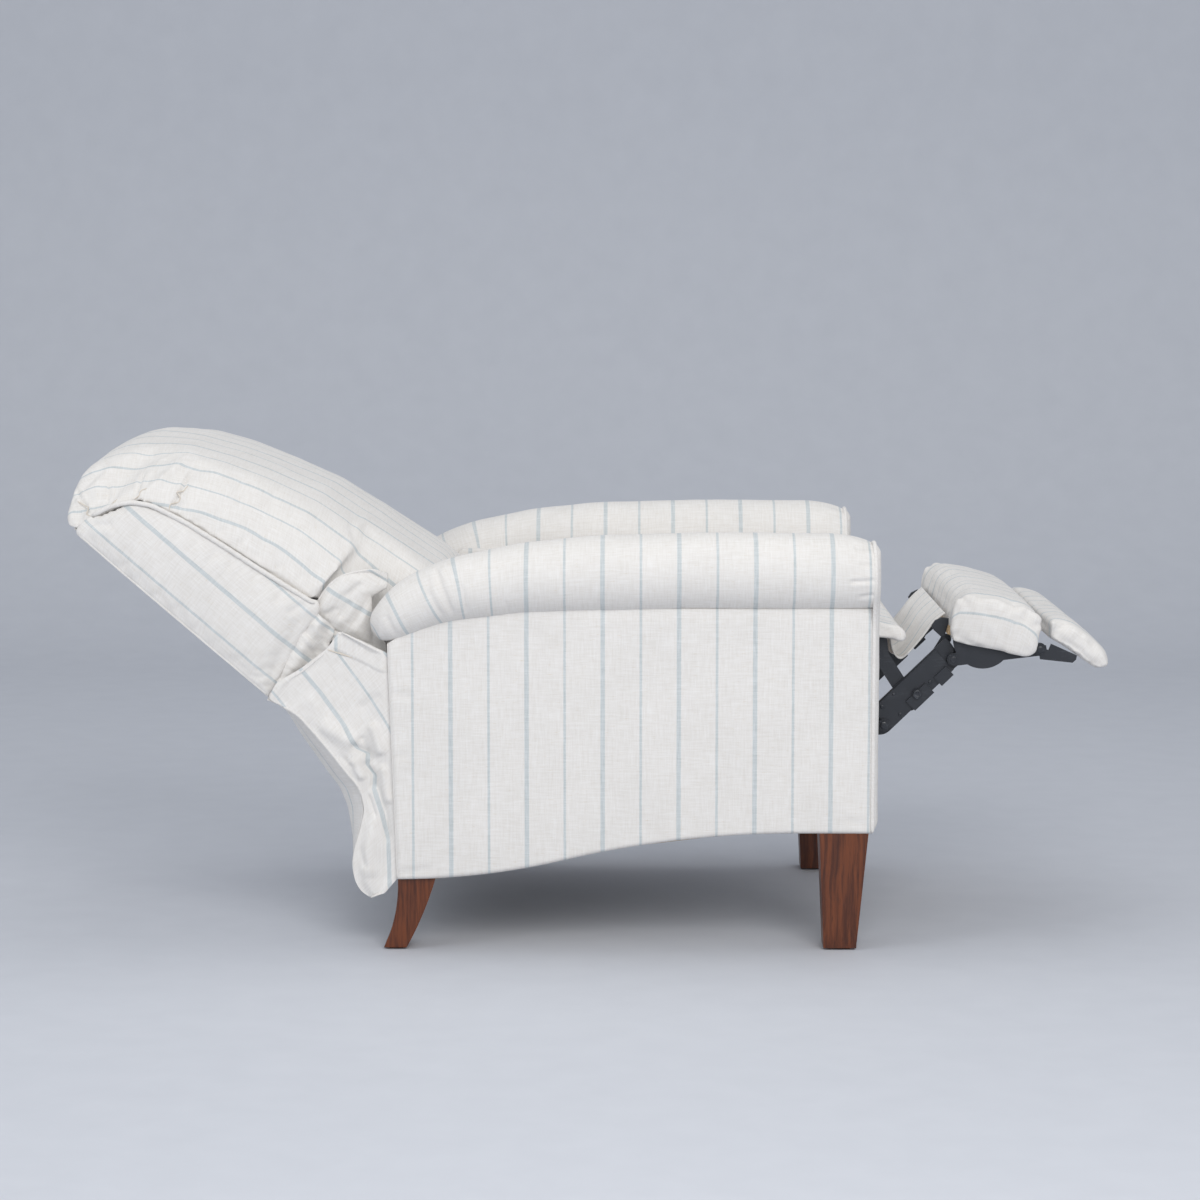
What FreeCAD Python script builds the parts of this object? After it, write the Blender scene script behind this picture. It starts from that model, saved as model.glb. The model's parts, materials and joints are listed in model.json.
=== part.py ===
import FreeCAD, Part
import math
import os

# Reclining armchair with rolled arms, shown fully reclined with its two-stage footrest out.
# +X is the way the sitter faces, +Y is the sitter's left, +Z is up, lengths are in millimetres.
# The origin lies on the floor under the middle of the reclined chair's outline.
# Everything with a twin on the other side is made at +Y and mirrored.

V = FreeCAD.Vector

# Chair body
SEAT_OPENING = 524.0            # clear width between the arms
ARM_THICKNESS = 90.0            # from the arm's inner face to its outer face
ARM_FRONT_X = 438.0             # front of the arm's frame, behind the facing pad
ARM_LENGTH = 725.0              # along the bottom of the outer panel
ARM_REAR_LEAN = 13.0            # how far the rear edge leans back at the crease
PANEL_THICKNESS = 10.0
PANEL_GAP = 0.3
CREASE_Z = 523.0                # where the roll meets the outer panel
REAR_CREASE_Z = 465.0
FRONT_HEM_Z = 183.0             # lower edge of the body at the front
REAR_HEM_Z = 111.0              # lower edge of the body at the rear
HEM_FRONT_FLAT = 110.0          # straight stretch of the lower edge in front of its long curve
HEM_BEND_SHARE = 0.415          # where the curve turns, along its run
SHOULDER_RUN = 80.0             # how far in front of the rear edge the panel's top starts to fall

# Rolled arm tops
ROLL_LENGTH = 761.0
ROLL_HEIGHT = 119.0
ROLL_RADIUS = 60.0
ROLL_OUTSET = 64.0              # from the inner face to the middle of the roll
ROLL_BOARD_INSET = 116.0        # from the roll's rear end to the board inside it
FACING_THICKNESS = 8.0
FACING_INSET = 2.0

# Wooden frame inside the arms and across the base
POST_WIDTH = 36.0
RAIL_HEIGHT = 36.0
FRAME_CLEARANCE = 2.0
CROSS_RAIL_THICKNESS = 25.0
CROSS_RAIL_HEIGHT = 50.0
FRONT_RAIL_SETBACK = 123.0      # from the arm's front to the face of the front cross rail
BLOCK_HEIGHT = 50.0
DUST_COVER_THICKNESS = 2.0

# Legs
FRONT_LEG_TOP = 75.0
FRONT_LEG_TOP_DEPTH = 65.0
FRONT_LEG_FOOT = 50.0
FRONT_LEG_INSET = 5.0           # behind the front face of the arm's frame
FRONT_LEG_FOOT_INSET = 22.0
LEG_SIDE_INSET = 4.0
REAR_LEG_TOP = 58.0
REAR_LEG_FOOT = 35.0
REAR_LEG_RAKE = 22.0            # how far the rear foot stands behind the leg's top
REAR_LEG_SWEEP = 7.0            # how hollow the rear leg's faces are
GLIDE_HEIGHT = 3.0
GLIDE_RADIUS = 17.0
HANGER_BOLT_RADIUS = 4.0
HANGER_BOLT_LENGTH = 34.0
HANGER_BOLT_DEPTH = 30.0

# Seat, in its own pitched frame whose origin is the cushion's rear top edge
SEAT_REAR_X = -186.0
SEAT_REAR_Z = 452.0
SEAT_PITCH = 3.9
SEAT_CUSHION_WIDTH = 496.0
SEAT_LENGTH = 645.0             # to where the nose starts to round
SEAT_NOSE = 38.0
SEAT_THICKNESS = 46.0
SEAT_SIDE_THICKNESS = 24.0      # where the cushion hangs over the links
SEAT_CROWN = 12.0
SEAT_POCKET_GAP = 1.0           # around the swing links' upper ends, which the cushion hides
SEAT_POCKET_REACH = V(30.0, 0, 0)
SEAT_UNDERSIDE = 47.84          # the frame's top below the seat's top plane
SEAT_RAIL_OUTER = 197.0         # half width over the seat's side rails
SEAT_RAIL_THICKNESS = 32.0
SEAT_RAIL_HEIGHT = 60.0
SEAT_RAIL_START = 12.0
SEAT_RAIL_END = 612.0
SEAT_STRAP_COUNT = 6
STRAP_WIDTH = 50.0
STRAP_THICKNESS = 2.5

# Slide that carries the seat on the arms
TRACK_LENGTH = 380.0
TRACK_START_X = -118.0
TRACK_HEIGHT = 22.0
TRACK_THICKNESS = 11.0
TRACK_DROP = 96.0               # track top below the seat's top plane
RUNNER_LENGTH = 190.0
RUNNER_START = 200.0            # along the seat from its rear edge
RUNNER_PLATE = 4.0
SLIDE_GAP = 0.3

# Footrest linkage: the pivots where they lie with the footrest out
SWING_PIVOT = V(432.0, 0, 470.0)      # swing link on the seat's side plate
DRIVE_PIVOT = V(380.9, 0, 415.3)      # drive link on the seat's side plate
BAR_PIVOT = V(515.0, 0, 382.0)        # swing link on the lift bar
BAR_TAIL_PIVOT = V(464.0, 0, 333.0)   # drive link on the lift bar's lower end
PAD_PIVOT = V(570.7, 0, 436.6)        # lift bar on the footrest bracket
CONTROL_PAD_PIVOT = V(539.7, 0, 428.8)    # control link on the bracket's inner cheek
CONTROL_SWING_PIVOT = V(484.9, 0, 374.2)  # control link on the swing link
EXTENSION_PIVOT = V(704.0, 0, 453.0)
PIN_RADIUS = 5.0
PIN_HEAD_RADIUS = 8.0
PIN_HEAD = 2.0
RUN_GAP = 0.05
OPEN_PIVOT_GAP = 1.0            # at the pivots where the closed linkage is opened
LAYER_GAP = 1.0
SIDE_PLATE = 4.0
LINK_THICKNESS = 5.0
BAR_CORE = 5.0
BAR_GUARD = 4.5
BAR_LOWER_SIDE = 14.0           # bar edges from the line through its pivots
BAR_UPPER_SIDE = 31.0
BAR_OVERHANG = 15.0             # past its upper pivot
LINK_RADIUS = 10.0
SWING_LINK_RADIUS = 12.0
CONTROL_LINK_RADIUS = 7.0
CROSS_TUBE_RADIUS = 6.0
CROSS_TUBE_WALL = 1.5
CROSS_TUBE_REACH = 50.0         # along the bar from its lower pivot
CROSS_TUBE_DROP = 10.0          # below the line through the bar's pivots

# Footrest pads, each in a frame whose origin is its rear lower corner
PAD_REAR = V(558.0, 0, 465.0)
PAD_SLOPE = 16.6
PAD_LENGTH = 142.0
PAD_HEIGHT = 88.0
PAD_WIDTH = 510.0
PAD_BOARD = 12.0
PAD_BOARD_Z = 11.5              # underside of the board above the pad's lower corner
PAD_BOARD_LENGTH = 128.0
PAD_TAB_START = 7.0             # the bracket's tab along the board's side
PAD_TAB_LENGTH = 114.0
DISC_PLACE = V(45.0, 0, 32.0)   # middle of the bracket's half disc, from the pad's pivot
DISC_RADIUS = 46.0
CHEEK_TAB = 4.0
CHEEK_RADIUS = 8.0
EXTENSION_REAR = V(712.0, 0, 473.0)
EXTENSION_SLOPE = 37.0
EXTENSION_LENGTH = 110.0
EXTENSION_HEIGHT = 34.0
EXTENSION_WIDTH = 500.0
EXTENSION_BOARD = 5.0
EXTENSION_BOARD_START = 11.0
EXTENSION_BOARD_LENGTH = 82.0
EXTENSION_BOARD_Z = 10.0
EXTENSION_ARM_LENGTH = 60.0     # the extension's bracket in front of its pivot
EXTENSION_ARM_HEIGHT = 30.0
BRACKET_SLOT = 13.0
BRACKET_SLOT_HEIGHT = 44.0
FLAP_WIDTH = 386.0
CLOTH_THICKNESS = 2.0

# Back, in its own frame: x forward from the outside back, z up along it
BACK_SETBACK = 163.0            # from the rear end of the arm's roll to the back's lower corner
BACK_FOOT = V(ARM_FRONT_X - ROLL_LENGTH - BACK_SETBACK, 0, 386.0)
BACK_LEAN = 49.2
BACK_PANEL_HEIGHT = 386.0
BACK_WING_DEPTH = 164.0
BACK_WIDTH = 630.0
BACK_PANEL_THICKNESS = 12.0
OUTSIDE_BACK_THICKNESS = 8.0
OUTSIDE_BACK_HEIGHT = 378.0
BACK_CROWN_DEPTH = 298.0        # front of the cushion at the height of the arms
BACK_CUSHION_TOP = 445.0
BACK_NECK_WIDTH = 512.0         # the cushion's lower part, between the arms
BACK_NECK_DROP = 150.0
BACK_UPRIGHT_OUTER = 250.0
BACK_UPRIGHT_THICKNESS = 24.0
BACK_RAIL_FRONT = 80.0
BACK_RAIL_REAR = 30.0
BACK_RAIL_HEIGHT = 32.0
BACK_WING_RAIL_Z = 58.0
BACK_UPRIGHT_FOOT = -60.0
BACK_UPRIGHT_TOP = 352.0
BACK_BRACKET_TOP = 20.0         # upper end of the bracket along the upright
BACK_STRAP_COUNT = 5
BACK_PIVOT = V(-166.0, 0, 330.0)
BACK_BRACKET = 5.0
BACK_BRACKET_RADIUS = 18.0
BACK_PIN_RADIUS = 6.0
BACK_BOSS_RADIUS = 15.0

# Cloth between the back and the body
DROP_CLOTH_WIDTH = 660.0
DROP_HEM_CLEARANCE = 0.5
GUSSET_THICKNESS = 3.0
TAIL_REAR_GAP = 4.0

# Places that follow from the sizes above
ARM_INNER_Y = SEAT_OPENING / 2
ARM_OUTER_Y = ARM_INNER_Y + ARM_THICKNESS
ARM_REAR_X = ARM_FRONT_X - ARM_LENGTH
ROLL_Y = ARM_INNER_Y + ROLL_OUTSET
PLATE_Y = SEAT_RAIL_OUTER
DRIVE_Y = PLATE_Y + SIDE_PLATE + LAYER_GAP
CONTROL_Y = DRIVE_Y + LINK_THICKNESS + LAYER_GAP
SWING_Y = CONTROL_Y + LINK_THICKNESS + LAYER_GAP
BAR_Y = SWING_Y + LINK_THICKNESS + LAYER_GAP
BAR_END_Y = BAR_Y + BAR_CORE + 2 * BAR_GUARD
BRACKET_Y = BAR_END_Y + LAYER_GAP
EXTENSION_Y = BRACKET_Y + SIDE_PLATE + LAYER_GAP
UP = V(0, 0, 1)
ALONG_Y = V(0, 1, 0)
SPAN = ARM_LENGTH               # one overrun for all cuts


def wire_through(points):
    """Closed wire of straight edges."""
    return Part.makePolygon(list(points) + [points[0]])


def prism(points, y_from, y_to):
    """Solid between two Y planes, over an outline given as (x, z) pairs."""
    face = Part.Face(wire_through([V(x, y_from, z) for x, z in points]))
    return face.extrude(V(0, y_to - y_from, 0))


def block(x_from, x_to, y_from, y_to, z_from, z_to):
    size = (x_to - x_from, y_to - y_from, z_to - z_from)
    return Part.makeBox(*size, V(x_from, y_from, z_from))


def rod(centre, radius, y_from, y_to):
    """Round bar along Y through a pivot."""
    return Part.makeCylinder(radius, y_to - y_from, V(centre.x, y_from, centre.z), ALONG_Y)


def capsule(start, end, radius, y_from, y_to):
    """Flat link with round ends between two pivots."""
    run = end - start
    side = V(-run.z, 0, run.x)
    side.normalize()
    side.multiply(radius)
    corners = [start + side, end + side, end - side, start - side]
    web = prism([(c.x, c.z) for c in corners], y_from, y_to)
    return web.fuse([rod(start, radius, y_from, y_to), rod(end, radius, y_from, y_to)])


def link(pivots, radius, y_from, y_to):
    """Flat link that follows a line of pivots."""
    spans = [capsule(a, b, radius, y_from, y_to) for a, b in zip(pivots, pivots[1:])]
    return (spans[0].fuse(spans[1:]) if len(spans) > 1 else spans[0]).removeSplitter()


def bored(shape, centre, radius=PIN_RADIUS + RUN_GAP):
    """Shape with a running hole for a pin at a pivot."""
    return shape.cut(rod(centre, radius, -SPAN, SPAN))


def pinned(shape, centre, y_from, y_to, head_y, head_end_y, radius=PIN_RADIUS):
    """Shape with a headed pin riveted into it."""
    pin = rod(centre, radius, y_from, y_to)
    head = rod(centre, radius + PIN_HEAD_RADIUS - PIN_RADIUS, head_y, head_end_y)
    return shape.fuse([pin, head]).removeSplitter()


def mirrored(shape):
    return shape.mirror(V(0, 0, 0), ALONG_Y)


def group(*shapes):
    return Part.makeCompound([s for shape in shapes for s in shape.Solids])


def turned(shape, degrees, place):
    """Shape turned about the Y axis and moved from the origin to a place."""
    moved = shape.copy()
    moved.rotate(V(0, 0, 0), ALONG_Y, degrees)
    moved.translate(place)
    return moved


def save(name, shape):
    solids = shape.Solids
    result = solids[0] if len(solids) == 1 else Part.makeCompound(solids)
    assert result.isValid(), name
    result.exportStep(os.path.join("parts", name + ".step"))
    print(name, len(solids), round(result.Volume))


def save_pair(name, shape):
    save(name + "_left", shape)
    save(name + "_right", mirrored(shape))


def scaled(shares, x_size, z_size):
    return [(x * x_size, z * z_size) for x, z in shares]


# Arms


def s_curve(x_from, z_from, x_to, z_to, share):
    """Two arcs that leave and arrive level and meet at a share of the way, in the XZ plane."""
    turn = 2 * math.atan2(z_to - z_from, x_to - x_from)
    bend = V(x_from + share * (x_to - x_from), 0, z_from + share * (z_to - z_from))
    first_radius = (bend.x - x_from) / math.sin(turn)
    last_radius = (x_to - bend.x) / math.sin(turn)
    along = math.sin(turn / 2)
    across = 1 - math.cos(turn / 2)
    first_middle = V(x_from + first_radius * along, 0, z_from + first_radius * across)
    last_middle = V(x_to - last_radius * along, 0, z_to - last_radius * across)
    first = Part.Arc(V(x_from, 0, z_from), first_middle, bend)
    last = Part.Arc(bend, last_middle, V(x_to, 0, z_to))
    return [first.toShape(), last.toShape()]


def side_panel(y_from, thickness, top_z, rear_top_z):
    """Flat side of an arm, with the long curve of its lower edge."""
    curve_end = ARM_FRONT_X - HEM_FRONT_FLAT
    rear_foot = V(ARM_REAR_X, 0, REAR_HEM_Z)
    front_foot = V(ARM_FRONT_X, 0, FRONT_HEM_Z)
    front_top = V(ARM_FRONT_X, 0, top_z)
    shoulder = V(ARM_REAR_X + SHOULDER_RUN, 0, top_z)
    rear_top = V(ARM_REAR_X - ARM_REAR_LEAN, 0, rear_top_z)
    edges = s_curve(ARM_REAR_X, REAR_HEM_Z, curve_end, FRONT_HEM_Z, HEM_BEND_SHARE)
    edges.append(Part.makeLine(V(curve_end, 0, FRONT_HEM_Z), front_foot))
    edges.append(Part.makeLine(front_foot, front_top))
    edges.append(Part.makeLine(front_top, shoulder))
    edges.append(Part.makeLine(shoulder, rear_top))
    edges.append(Part.makeLine(rear_top, rear_foot))
    face = Part.Face(Part.Wire(edges))
    panel = face.extrude(V(0, thickness, 0))
    panel.translate(V(0, y_from, 0))
    return panel


# Along the roll from its front: share of its length, then the crest's and the crease's
# height and the half width, all as shares of the roll's height and radius
ROLL_SHARES = [
    (0.0, 0.86, 0.02, 0.95), (0.017, 0.92, 0.01, 0.985), (0.078, 0.99, 0.0, 1.0),
    (0.346, 1.0, 0.0, 1.0), (0.545, 0.966, -0.025, 1.0), (0.704, 0.866, -0.05, 1.0),
    (0.844, 0.68, -0.15, 0.98), (0.905, 0.53, -0.286, 0.92), (0.957, 0.33, -0.41, 0.80),
    (0.984, 0.126, -0.395, 0.58), (1.0, -0.025, -0.277, 0.25),
]
DIAGONAL_SHARE = math.sqrt(0.5)


def oval_section(x, half_width, low_z, high_z):
    """Oval of four arcs in a plane across the arm."""
    middle_z = (low_z + high_z) / 2
    half_height = (high_z - low_z) / 2
    corners = [(1, 0), (0, 1), (-1, 0), (0, -1)]
    edges = []
    for (ay, az), (by, bz) in zip(corners, corners[1:] + corners[:1]):
        points = []
        for y, z in ((ay, az), ((ay + by) * DIAGONAL_SHARE, (az + bz) * DIAGONAL_SHARE), (by, bz)):
            points.append(V(x, ROLL_Y + y * half_width, middle_z + z * half_height))
        edges.append(Part.Arc(*points).toShape())
    return Part.Wire(edges)


def arm_roll():
    sections = []
    for along, crest, crease, width in ROLL_SHARES:
        x = ARM_FRONT_X - along * ROLL_LENGTH
        low = CREASE_Z + crease * ROLL_HEIGHT
        high = CREASE_Z + crest * ROLL_HEIGHT
        sections.append(oval_section(x, width * ROLL_RADIUS, low, high))
    return Part.makeLoft(sections, True, False)


def arm_facing():
    """Padded front of the arm: a round head on a straight stem."""
    crest = CREASE_Z + ROLL_SHARES[0][1] * ROLL_HEIGHT
    radius = (crest - CREASE_Z) / 2 + FACING_INSET
    head = Part.makeCylinder(radius, FACING_THICKNESS,
                             V(ARM_FRONT_X, ROLL_Y, crest - radius), V(1, 0, 0))
    stem = block(ARM_FRONT_X, ARM_FRONT_X + FACING_THICKNESS, ARM_INNER_Y + FACING_INSET,
                 ARM_OUTER_Y - FACING_INSET, FRONT_HEM_Z + FACING_INSET, crest - radius)
    return head.fuse(stem).removeSplitter()


def arms():
    outer_y = ARM_OUTER_Y - PANEL_THICKNESS
    roll = arm_roll()
    outer = side_panel(outer_y, PANEL_THICKNESS, CREASE_Z, REAR_CREASE_Z)
    inner_top = CREASE_Z + ROLL_HEIGHT / 3
    inner = side_panel(ARM_INNER_Y, PANEL_THICKNESS, inner_top, REAR_CREASE_Z)
    save_pair("arm_roll", roll)
    save_pair("arm_outer_panel", outer.cut(roll))
    save_pair("arm_inner_panel", inner.cut(roll))
    save_pair("arm_facing", arm_facing())


def arm_frames():
    """Posts and rails inside each arm, and the blocks that the legs screw into."""
    y_from = ARM_INNER_Y + PANEL_THICKNESS
    y_to = ARM_OUTER_Y - PANEL_THICKNESS
    front = ARM_FRONT_X - FRAME_CLEARANCE
    rear = ARM_REAR_X + FRAME_CLEARANCE
    front_block_z = FRONT_HEM_Z + BLOCK_HEIGHT
    rear_block_z = REAR_HEM_Z + BLOCK_HEIGHT
    rail_top = REAR_CREASE_Z - FRAME_CLEARANCE
    front_post = block(front - POST_WIDTH, front, y_from, y_to, front_block_z, rail_top)
    rear_post = block(rear, rear + POST_WIDTH, y_from, y_to, rear_block_z, rail_top)
    top_rail = block(rear + POST_WIDTH, front - POST_WIDTH, y_from, y_to, rail_top - RAIL_HEIGHT, rail_top)
    front_block_x = front - FRONT_LEG_TOP - FRAME_CLEARANCE
    rear_block_x = rear + REAR_LEG_TOP + FRAME_CLEARANCE
    lower_rail = prism([(rear_block_x, rear_block_z - RAIL_HEIGHT), (rear_block_x, rear_block_z),
                        (front_block_x, front_block_z), (front_block_x, front_block_z - RAIL_HEIGHT)],
                       y_from, y_to)
    save_pair("arm_frame", group(front_post, rear_post, top_rail, lower_rail))
    front_block = block(front_block_x, front, y_from, y_to, FRONT_HEM_Z, front_block_z)
    rear_block = block(rear, rear_block_x, y_from, y_to, REAR_HEM_Z, rear_block_z)
    blocks = group(front_block, rear_block)
    for x, z in leg_bolts():
        hole = Part.makeCylinder(HANGER_BOLT_RADIUS, HANGER_BOLT_LENGTH, V(x, leg_y(), z), UP)
        blocks = blocks.cut(hole)
    save_pair("leg_blocks", blocks)


def roll_core():
    """Board under the roll that carries its padding, resting on the arm's top rail."""
    y_from = ARM_INNER_Y + PANEL_THICKNESS
    y_to = ARM_OUTER_Y - PANEL_THICKNESS
    low = REAR_CREASE_Z - FRAME_CLEARANCE
    start = ARM_FRONT_X - ROLL_LENGTH + ROLL_BOARD_INSET
    front = ARM_FRONT_X - FRAME_CLEARANCE
    board = block(start, front, y_from, y_to, low, CREASE_Z + ROLL_HEIGHT / 4)
    save_pair("arm_board", board.cut(arm_roll()))


# Base


def base_rails():
    front_x = ARM_FRONT_X - FRONT_RAIL_SETBACK
    front_z = FRONT_HEM_Z + FRAME_CLEARANCE
    rear_x = ARM_REAR_X + FRAME_CLEARANCE
    rear_z = REAR_HEM_Z + FRAME_CLEARANCE
    front = block(front_x - CROSS_RAIL_THICKNESS, front_x, -ARM_INNER_Y, ARM_INNER_Y,
                  front_z, front_z + CROSS_RAIL_HEIGHT)
    rear = block(rear_x, rear_x + CROSS_RAIL_THICKNESS, -ARM_INNER_Y, ARM_INNER_Y,
                 rear_z, rear_z + CROSS_RAIL_HEIGHT)
    save("front_cross_rail", front)
    save("rear_cross_rail", rear)
    low = rear_z - DUST_COVER_THICKNESS
    high = front_z - DUST_COVER_THICKNESS
    cover = prism([(rear_x, low), (rear_x, rear_z), (rear_x + CROSS_RAIL_THICKNESS, rear_z),
                   (front_x - CROSS_RAIL_THICKNESS, front_z), (front_x, front_z), (front_x, high),
                   (front_x - CROSS_RAIL_THICKNESS, high), (rear_x + CROSS_RAIL_THICKNESS, low)],
                  -ARM_INNER_Y, ARM_INNER_Y)
    save("dust_cover", cover)


def leg_y():
    return ARM_OUTER_Y - LEG_SIDE_INSET - FRONT_LEG_TOP_DEPTH / 2


def leg_bolts():
    """Where each leg's bolt enters its block, as (x, z), front then rear."""
    front_x = ARM_FRONT_X - FRONT_LEG_INSET - FRONT_LEG_TOP / 2
    rear_x = ARM_REAR_X + REAR_LEG_TOP / 2
    return [(front_x, FRONT_HEM_Z), (rear_x, REAR_HEM_Z)]


def rectangle_at(z, x_from, x_to, y_from, y_to):
    return wire_through([V(x_from, y_from, z), V(x_to, y_from, z), V(x_to, y_to, z), V(x_from, y_to, z)])


def front_leg():
    """Square block that tapers on every face towards its foot."""
    right = ARM_FRONT_X - FRONT_LEG_INSET
    middle_y = leg_y()
    foot_right = ARM_FRONT_X - FRONT_LEG_FOOT_INSET
    top = rectangle_at(FRONT_HEM_Z, right - FRONT_LEG_TOP, right,
                       middle_y - FRONT_LEG_TOP_DEPTH / 2, middle_y + FRONT_LEG_TOP_DEPTH / 2)
    foot = rectangle_at(GLIDE_HEIGHT, foot_right - FRONT_LEG_FOOT, foot_right,
                        middle_y - FRONT_LEG_FOOT / 2, middle_y + FRONT_LEG_FOOT / 2)
    return Part.makeLoft([foot, top], True, True)


def rear_leg():
    """Sabre leg that sweeps back to its foot."""
    top_rear = ARM_REAR_X
    foot_rear = top_rear - REAR_LEG_RAKE
    middle_z = (REAR_HEM_Z + GLIDE_HEIGHT) / 2
    rear_middle = (top_rear + foot_rear) / 2 + REAR_LEG_SWEEP
    front_middle = (top_rear + REAR_LEG_TOP + foot_rear + REAR_LEG_FOOT) / 2 + REAR_LEG_SWEEP / 2
    top_a = V(top_rear, 0, REAR_HEM_Z)
    top_b = V(top_rear + REAR_LEG_TOP, 0, REAR_HEM_Z)
    foot_a = V(foot_rear, 0, GLIDE_HEIGHT)
    foot_b = V(foot_rear + REAR_LEG_FOOT, 0, GLIDE_HEIGHT)
    edges = [Part.makeLine(foot_a, foot_b), Part.Arc(foot_b, V(front_middle, 0, middle_z), top_b).toShape(),
             Part.makeLine(top_b, top_a), Part.Arc(top_a, V(rear_middle, 0, middle_z), foot_a).toShape()]
    width = FRONT_LEG_FOOT
    leg = Part.Face(Part.Wire(edges)).extrude(V(0, width, 0))
    leg.translate(V(0, leg_y() - width / 2, 0))
    return leg


def legs():
    front_bolt, rear_bolt = leg_bolts()
    pieces = []
    for name, leg, bolt in (("front_leg", front_leg(), front_bolt), ("rear_leg", rear_leg(), rear_bolt)):
        hole = Part.makeCylinder(HANGER_BOLT_RADIUS, HANGER_BOLT_DEPTH,
                                 V(bolt[0], leg_y(), bolt[1] - HANGER_BOLT_DEPTH), UP)
        save_pair(name, leg.cut(hole))
        bolt_shape = Part.makeCylinder(HANGER_BOLT_RADIUS, HANGER_BOLT_DEPTH + HANGER_BOLT_LENGTH,
                                       V(bolt[0], leg_y(), bolt[1] - HANGER_BOLT_DEPTH), UP)
        pieces += [bolt_shape, mirrored(bolt_shape)]
    save("hanger_bolts", group(*pieces))
    glides = []
    front_x = ARM_FRONT_X - FRONT_LEG_FOOT_INSET - FRONT_LEG_FOOT / 2
    rear_x = ARM_REAR_X - REAR_LEG_RAKE + REAR_LEG_FOOT / 2
    for x in (front_x, rear_x):
        glide = Part.makeCylinder(GLIDE_RADIUS, GLIDE_HEIGHT, V(x, leg_y(), 0), UP)
        glides += [glide, mirrored(glide)]
    save("leg_glides", group(*glides))


# Seat


def on_seat(shape):
    return turned(shape, -SEAT_PITCH, V(SEAT_REAR_X, 0, SEAT_REAR_Z))


# Along the seat: share of its length past the rear edge, or of the nose past the seat, then
# the top's and the underside's depth as shares of the cushion's thickness, and the crown's share
SEAT_SHARES = [
    (0.0, 0.0, -0.25, -0.95, 1.0), (0.03, 0.0, -0.03, -1.0, 1.0), (0.5, 0.0, 0.0, -1.0, 1.0),
    (0.85, 0.0, 0.0, -1.0, 0.7), (0.955, 0.0, -0.01, -1.0, 0.45), (0.96, 0.0, -0.01, -0.53, 0.4),
    (1.0, 0.0, -0.03, -0.56, 0.3),
    (1.0, 0.55, -0.13, -0.62, 0.2), (1.0, 0.87, -0.25, -0.69, 0.2), (1.0, 1.0, -0.38, -0.60, 0.1),
]


def seat_cushion():
    half = SEAT_CUSHION_WIDTH / 2
    sections = []
    for along, nose, top, bottom, crown in SEAT_SHARES:
        x = along * SEAT_LENGTH + nose * SEAT_NOSE
        high = top * SEAT_THICKNESS
        low = bottom * SEAT_THICKNESS
        corners = [V(x, -half, low), V(x, half, low), V(x, half, high), V(x, -half, high)]
        edges = [Part.makeLine(corners[0], corners[1]), Part.makeLine(corners[1], corners[2]),
                 Part.Arc(corners[2], V(x, 0, high + crown * SEAT_CROWN), corners[3]).toShape(),
                 Part.makeLine(corners[3], corners[0])]
        sections.append(Part.Wire(edges))
    cushion = Part.makeLoft(sections, True, True)
    for side in (-1, 1):
        y_from, y_to = sorted((side * SEAT_RAIL_OUTER, side * SPAN))
        cushion = cushion.cut(block(-SPAN, SEAT_LENGTH, y_from, y_to, -SPAN, -SEAT_SIDE_THICKNESS))
    cushion = on_seat(cushion)
    pocket = link([SWING_PIVOT + SEAT_POCKET_REACH, SWING_PIVOT, SWING_PIVOT - SEAT_POCKET_REACH],
                  SWING_LINK_RADIUS + SEAT_POCKET_GAP, SEAT_RAIL_OUTER, BAR_Y + LAYER_GAP)
    return cushion.cut(group(pocket, mirrored(pocket)))


def seat_frame():
    top = -SEAT_UNDERSIDE
    low = top - SEAT_RAIL_HEIGHT
    inner = SEAT_RAIL_OUTER - SEAT_RAIL_THICKNESS
    side = block(SEAT_RAIL_START, SEAT_RAIL_END, inner, SEAT_RAIL_OUTER, low, top)
    rear = block(SEAT_RAIL_START, SEAT_RAIL_START + SEAT_RAIL_THICKNESS, -inner, inner, low, top)
    front = block(SEAT_RAIL_END - SEAT_RAIL_THICKNESS, SEAT_RAIL_END, -inner, inner, low, top)
    save("seat_frame", on_seat(group(side, mirrored(side), rear, front)))
    first = SEAT_RAIL_START + SEAT_RAIL_THICKNESS
    pitch = (SEAT_RAIL_END - SEAT_RAIL_THICKNESS - first) / SEAT_STRAP_COUNT
    straps = []
    for i in range(SEAT_STRAP_COUNT):
        x = first + (i + 0.5) * pitch
        straps.append(block(x - STRAP_WIDTH / 2, x + STRAP_WIDTH / 2, -inner, inner, top - STRAP_THICKNESS, top))
    save("seat_webbing", on_seat(group(*straps)))


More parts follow.
